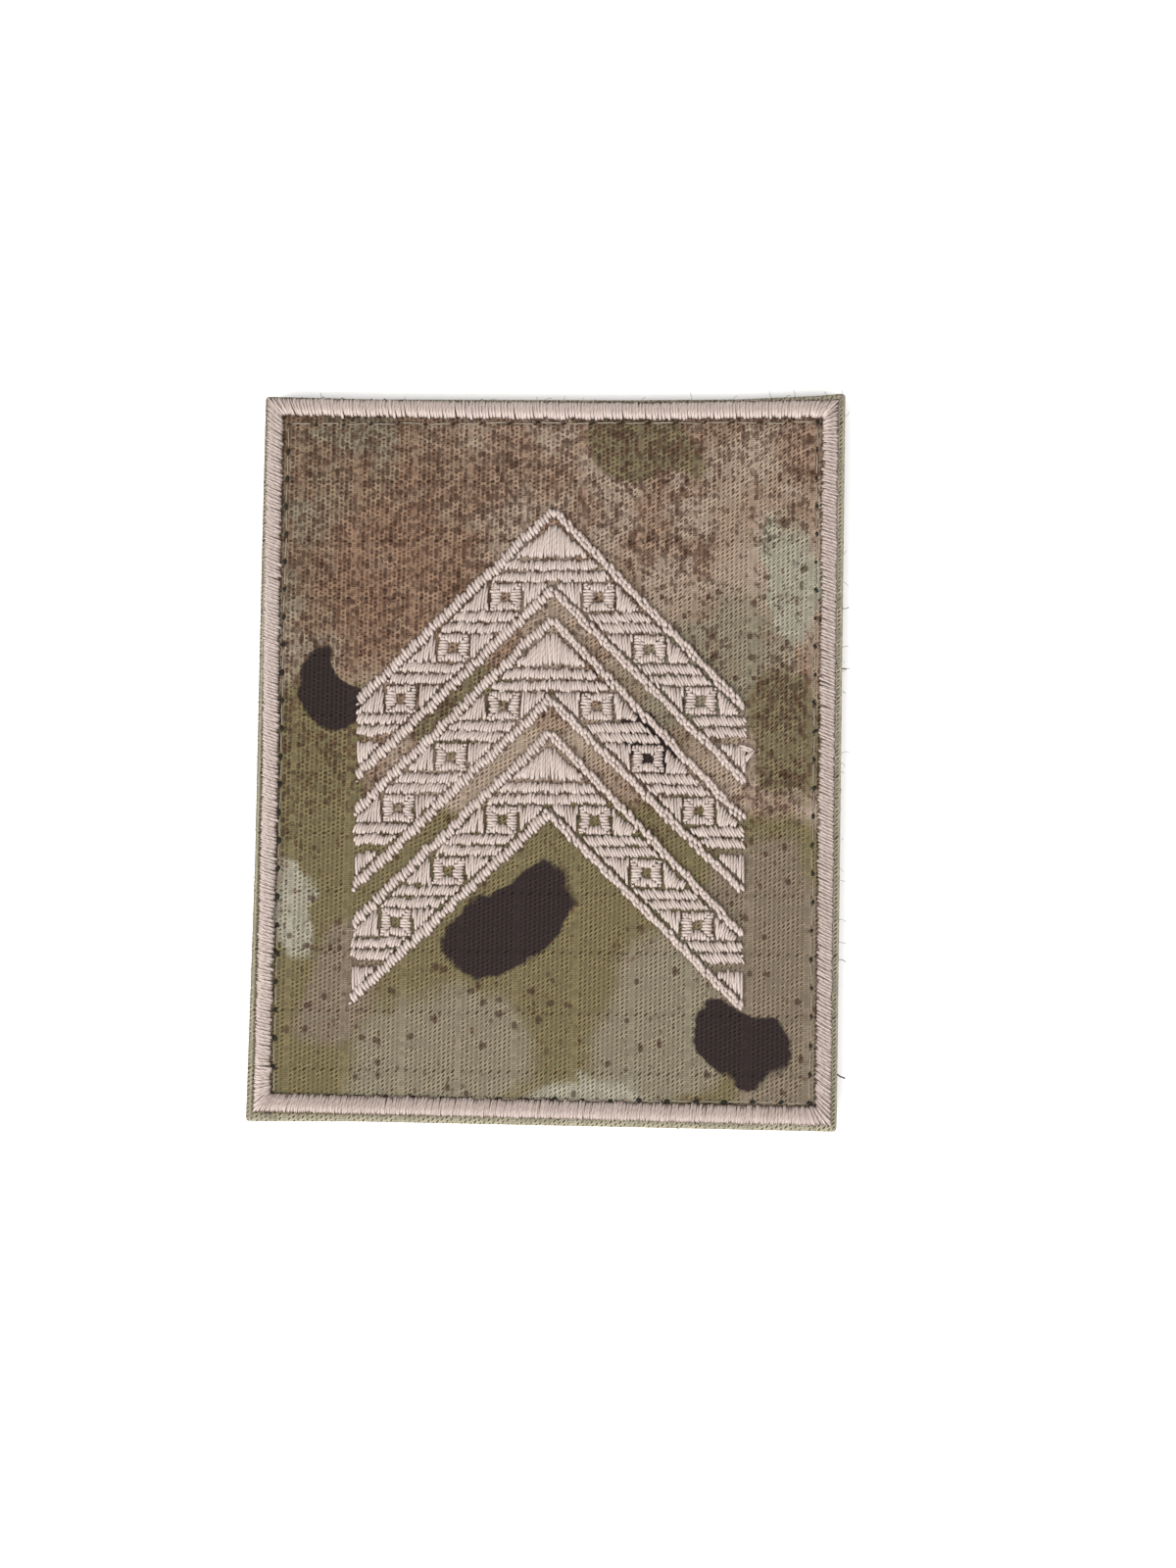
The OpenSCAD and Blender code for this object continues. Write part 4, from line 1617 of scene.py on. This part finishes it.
# Start and end of the stitches that stand out beside the upper chevron, and their widths
LOOSE_STITCHES = [
    (26.2, 1.7, 28.3, 0.95, 0.5), (26.3, 1.25, 28.1, 0.7, 0.48), (28.4, 1.1, 27.0, -0.75, 0.5),
    (28.0, 0.95, 26.9, -0.5, 0.45), (27.1, -0.3, 26.9, -2.15, 0.52), (26.9, 0.85, 26.8, -1.3, 0.5),
]
dice = random.Random(61)
loose_threads = sew("loose_threads", [{
    "stitches": [(*row, dice.random()) for row in LOOSE_STITCHES], "level": FACE_Z + 0.05,
    "thickness": 0.3, "rise": 0.42, "bow": 2.4,
}], satin_thread)
cut_ends = [row for cut_end in CUT_ENDS for row in curl(*cut_end, dice)]
cut_threads = sew("cut_threads", [{
    "stitches": cut_ends, "level": FACE_Z - 0.55, "thickness": 0.16, "rise": 0.0, "bow": 2.0,
}], knot_thread)
fold_fuzz = sew("fold_fuzz", [{
    "stitches": edge_fuzz(FUZZ_COUNT, dice), "level": FACE_Z - 0.6, "thickness": 0.05,
    "rise": 0.0, "bow": 2.0,
}], seam_thread)
for loose_piece, slot in ((loose_threads, "embroidery_thread"), (cut_threads, "embroidery_thread"),
                          (fold_fuzz, "printed_cloth")):
    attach(loose_piece, "root")

# %% [markdown]
# ## Hook tape
# The back is a woven tape with a field of small stiff hooks that grip a pile panel. The tape is
# a flat sheet with a plain selvedge. A hook is a bristle that rises straight and curls over: one
# is spun round its bend, and three thousand copies stand in rows, turned a little each.

# %% Weave the tape
# The tape ends this far inside the edge of the patch
TAPE_INSET = 2.2
TAPE_T = 0.5
TAPE_CELLS = (38, 48)
TAPE_ROUNDING = 0.15
# Distance from rib to rib and from pick to pick of the tape
RIB_PITCH = 0.9
PICK_PITCH = 0.55


def make_tape_material():
    """Dark woven tape with ribs one way and picks the other way, with painted shade between them."""
    material, bench, surface, place = new_material("tape_weave", roughness=0.7, shine=0.2)
    x, y, _ = bench.split(place)
    rib = bench.math("COSINE", bench.times(x, 2 * math.pi / RIB_PITCH))
    pick = bench.math("COSINE", bench.times(y, 2 * math.pi / PICK_PITCH))
    height = bench.plus(bench.times(rib, 0.6), bench.times(pick, 0.4))
    cloud = bench.noise(place, 0.4, 3.0)
    # Painted light and shade: crests of the ribs and picks lighter, the grooves between them darker
    mix = bench.mixed(bench.step(height, -0.6, 0.8), colour(38, 41, 32), colour(76, 80, 62))
    mix = bench.mixed(bench.times(cloud, 0.4), mix, colour(92, 92, 74))
    bench.plug(mix, surface.inputs["Base Color"])
    raise_surface(bench, surface, height, 0.08)
    return material


def make_tape_base():
    """The tape without its hooks."""
    tape = bmesh.new()
    half_w, half_h = PATCH_HALF_W - TAPE_INSET, PATCH_HALF_H - TAPE_INSET
    across, up = TAPE_CELLS
    bmesh.ops.create_grid(tape, x_segments=across, y_segments=up, size=1.0)
    for corner in tape.verts:
        corner.co = (corner.co.x * half_w * MM, corner.co.y * half_h * MM, BACK_Z * MM)
    thicken(tape, TAPE_T, BACK_Z + TAPE_T, TAPE_ROUNDING, segments=2)
    return finish_piece("hook_tape_base", tape, make_tape_material())


hook_tape_base = make_tape_base()
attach(hook_tape_base, "root")
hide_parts("hook_backing")
print("the tape is", round(hook_tape_base.dimensions.x / MM, 1), "mm wide")

# %% Bend one hook
HOOK_R = 0.09
CURL_R = 0.26
# How far the hook curls over, in degrees, and in how many steps
CURL_TURN = 200
CURL_STEPS = 5


def shape_hook():
    """One hook that hangs down from z 0 and curls over, as corners and faces."""
    hook = bmesh.new()
    bmesh.ops.create_circle(hook, cap_ends=True, segments=4, radius=HOOK_R)
    stem = BACK_Z - CURL_R - HOOK_R
    drawn = bmesh.ops.extrude_face_region(hook, geom=hook.faces[:])
    tip_corners = [part for part in drawn["geom"] if isinstance(part, bmesh.types.BMVert)]
    bmesh.ops.translate(hook, vec=(0, 0, -stem), verts=tip_corners)
    tip_faces = [part for part in drawn["geom"] if isinstance(part, bmesh.types.BMFace)]
    root_faces = [face for face in hook.faces
                  if face not in tip_faces and abs(face.normal.z) > 0.9
                  and face.calc_center_median().z > -stem / 2]
    bmesh.ops.delete(hook, geom=root_faces, context="FACES_KEEP_BOUNDARY")
    bmesh.ops.spin(hook, geom=tip_faces, cent=(CURL_R, 0, -stem), axis=(0, 1, 0),
                   angle=-math.radians(CURL_TURN), steps=CURL_STEPS)
    bmesh.ops.recalc_face_normals(hook, faces=hook.faces)
    corners = np.array([corner.co[:] for corner in hook.verts])
    hook.verts.index_update()
    faces = [[corner.index for corner in face.verts] for face in hook.faces]
    hook.free()
    return corners, faces


hook_corners, hook_faces = shape_hook()
print("a hook reaches from", round(hook_corners[:, 2].min(), 3), "to",
      round(hook_corners[:, 2].max(), 3))

# %% Stand up the hooks
HOOK_HALF_W = 34.2
HOOK_HALF_H = 44.2
HOOK_PITCH_X = 1.35
HOOK_PITCH_Y = 1.5
# How much the hooks stray from their places and, in degrees, from their rows
HOOK_STRAY = 0.06
HOOK_TURN_STRAY = 14
# Their roots reach this far into the tape
ROOT_DEPTH = 0.02


def make_bristle_material():
    """Stiff glossy thread."""
    material, bench, surface, place = new_material("hook_bristle", roughness=0.35)
    tone = bench.noise(place, 0.8, 2.0)
    mix = bench.mixed(tone, colour(52, 56, 44), colour(96, 100, 80))
    bench.plug(mix, surface.inputs["Base Color"])
    return material


def stand_hooks():
    """Rows of hooks that curl over one way and, in the next row, the other way."""
    dice = random.Random(41)
    copies = []
    columns = int(2 * HOOK_HALF_W / HOOK_PITCH_X) + 1
    rows = int(2 * HOOK_HALF_H / HOOK_PITCH_Y) + 1
    for i in range(columns):
        for j in range(rows):
            turn = math.radians((180 if j % 2 else 0) + dice.gauss(0, HOOK_TURN_STRAY))
            x = -HOOK_HALF_W + i * HOOK_PITCH_X + dice.gauss(0, HOOK_STRAY)
            y = -HOOK_HALF_H + j * HOOK_PITCH_Y + dice.gauss(0, HOOK_STRAY)
            turned = hook_corners @ np.array(Matrix.Rotation(-turn, 3, "Z"))
            copies.append(turned + np.array((x, y, BACK_Z + ROOT_DEPTH)))
    print("hooks:", len(copies), "with", len(hook_faces), "faces each")
    return join_copies("hook_field", np.concatenate(copies), hook_faces, len(copies), {},
                       make_bristle_material())


hook_field = stand_hooks()
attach(hook_field, "root")
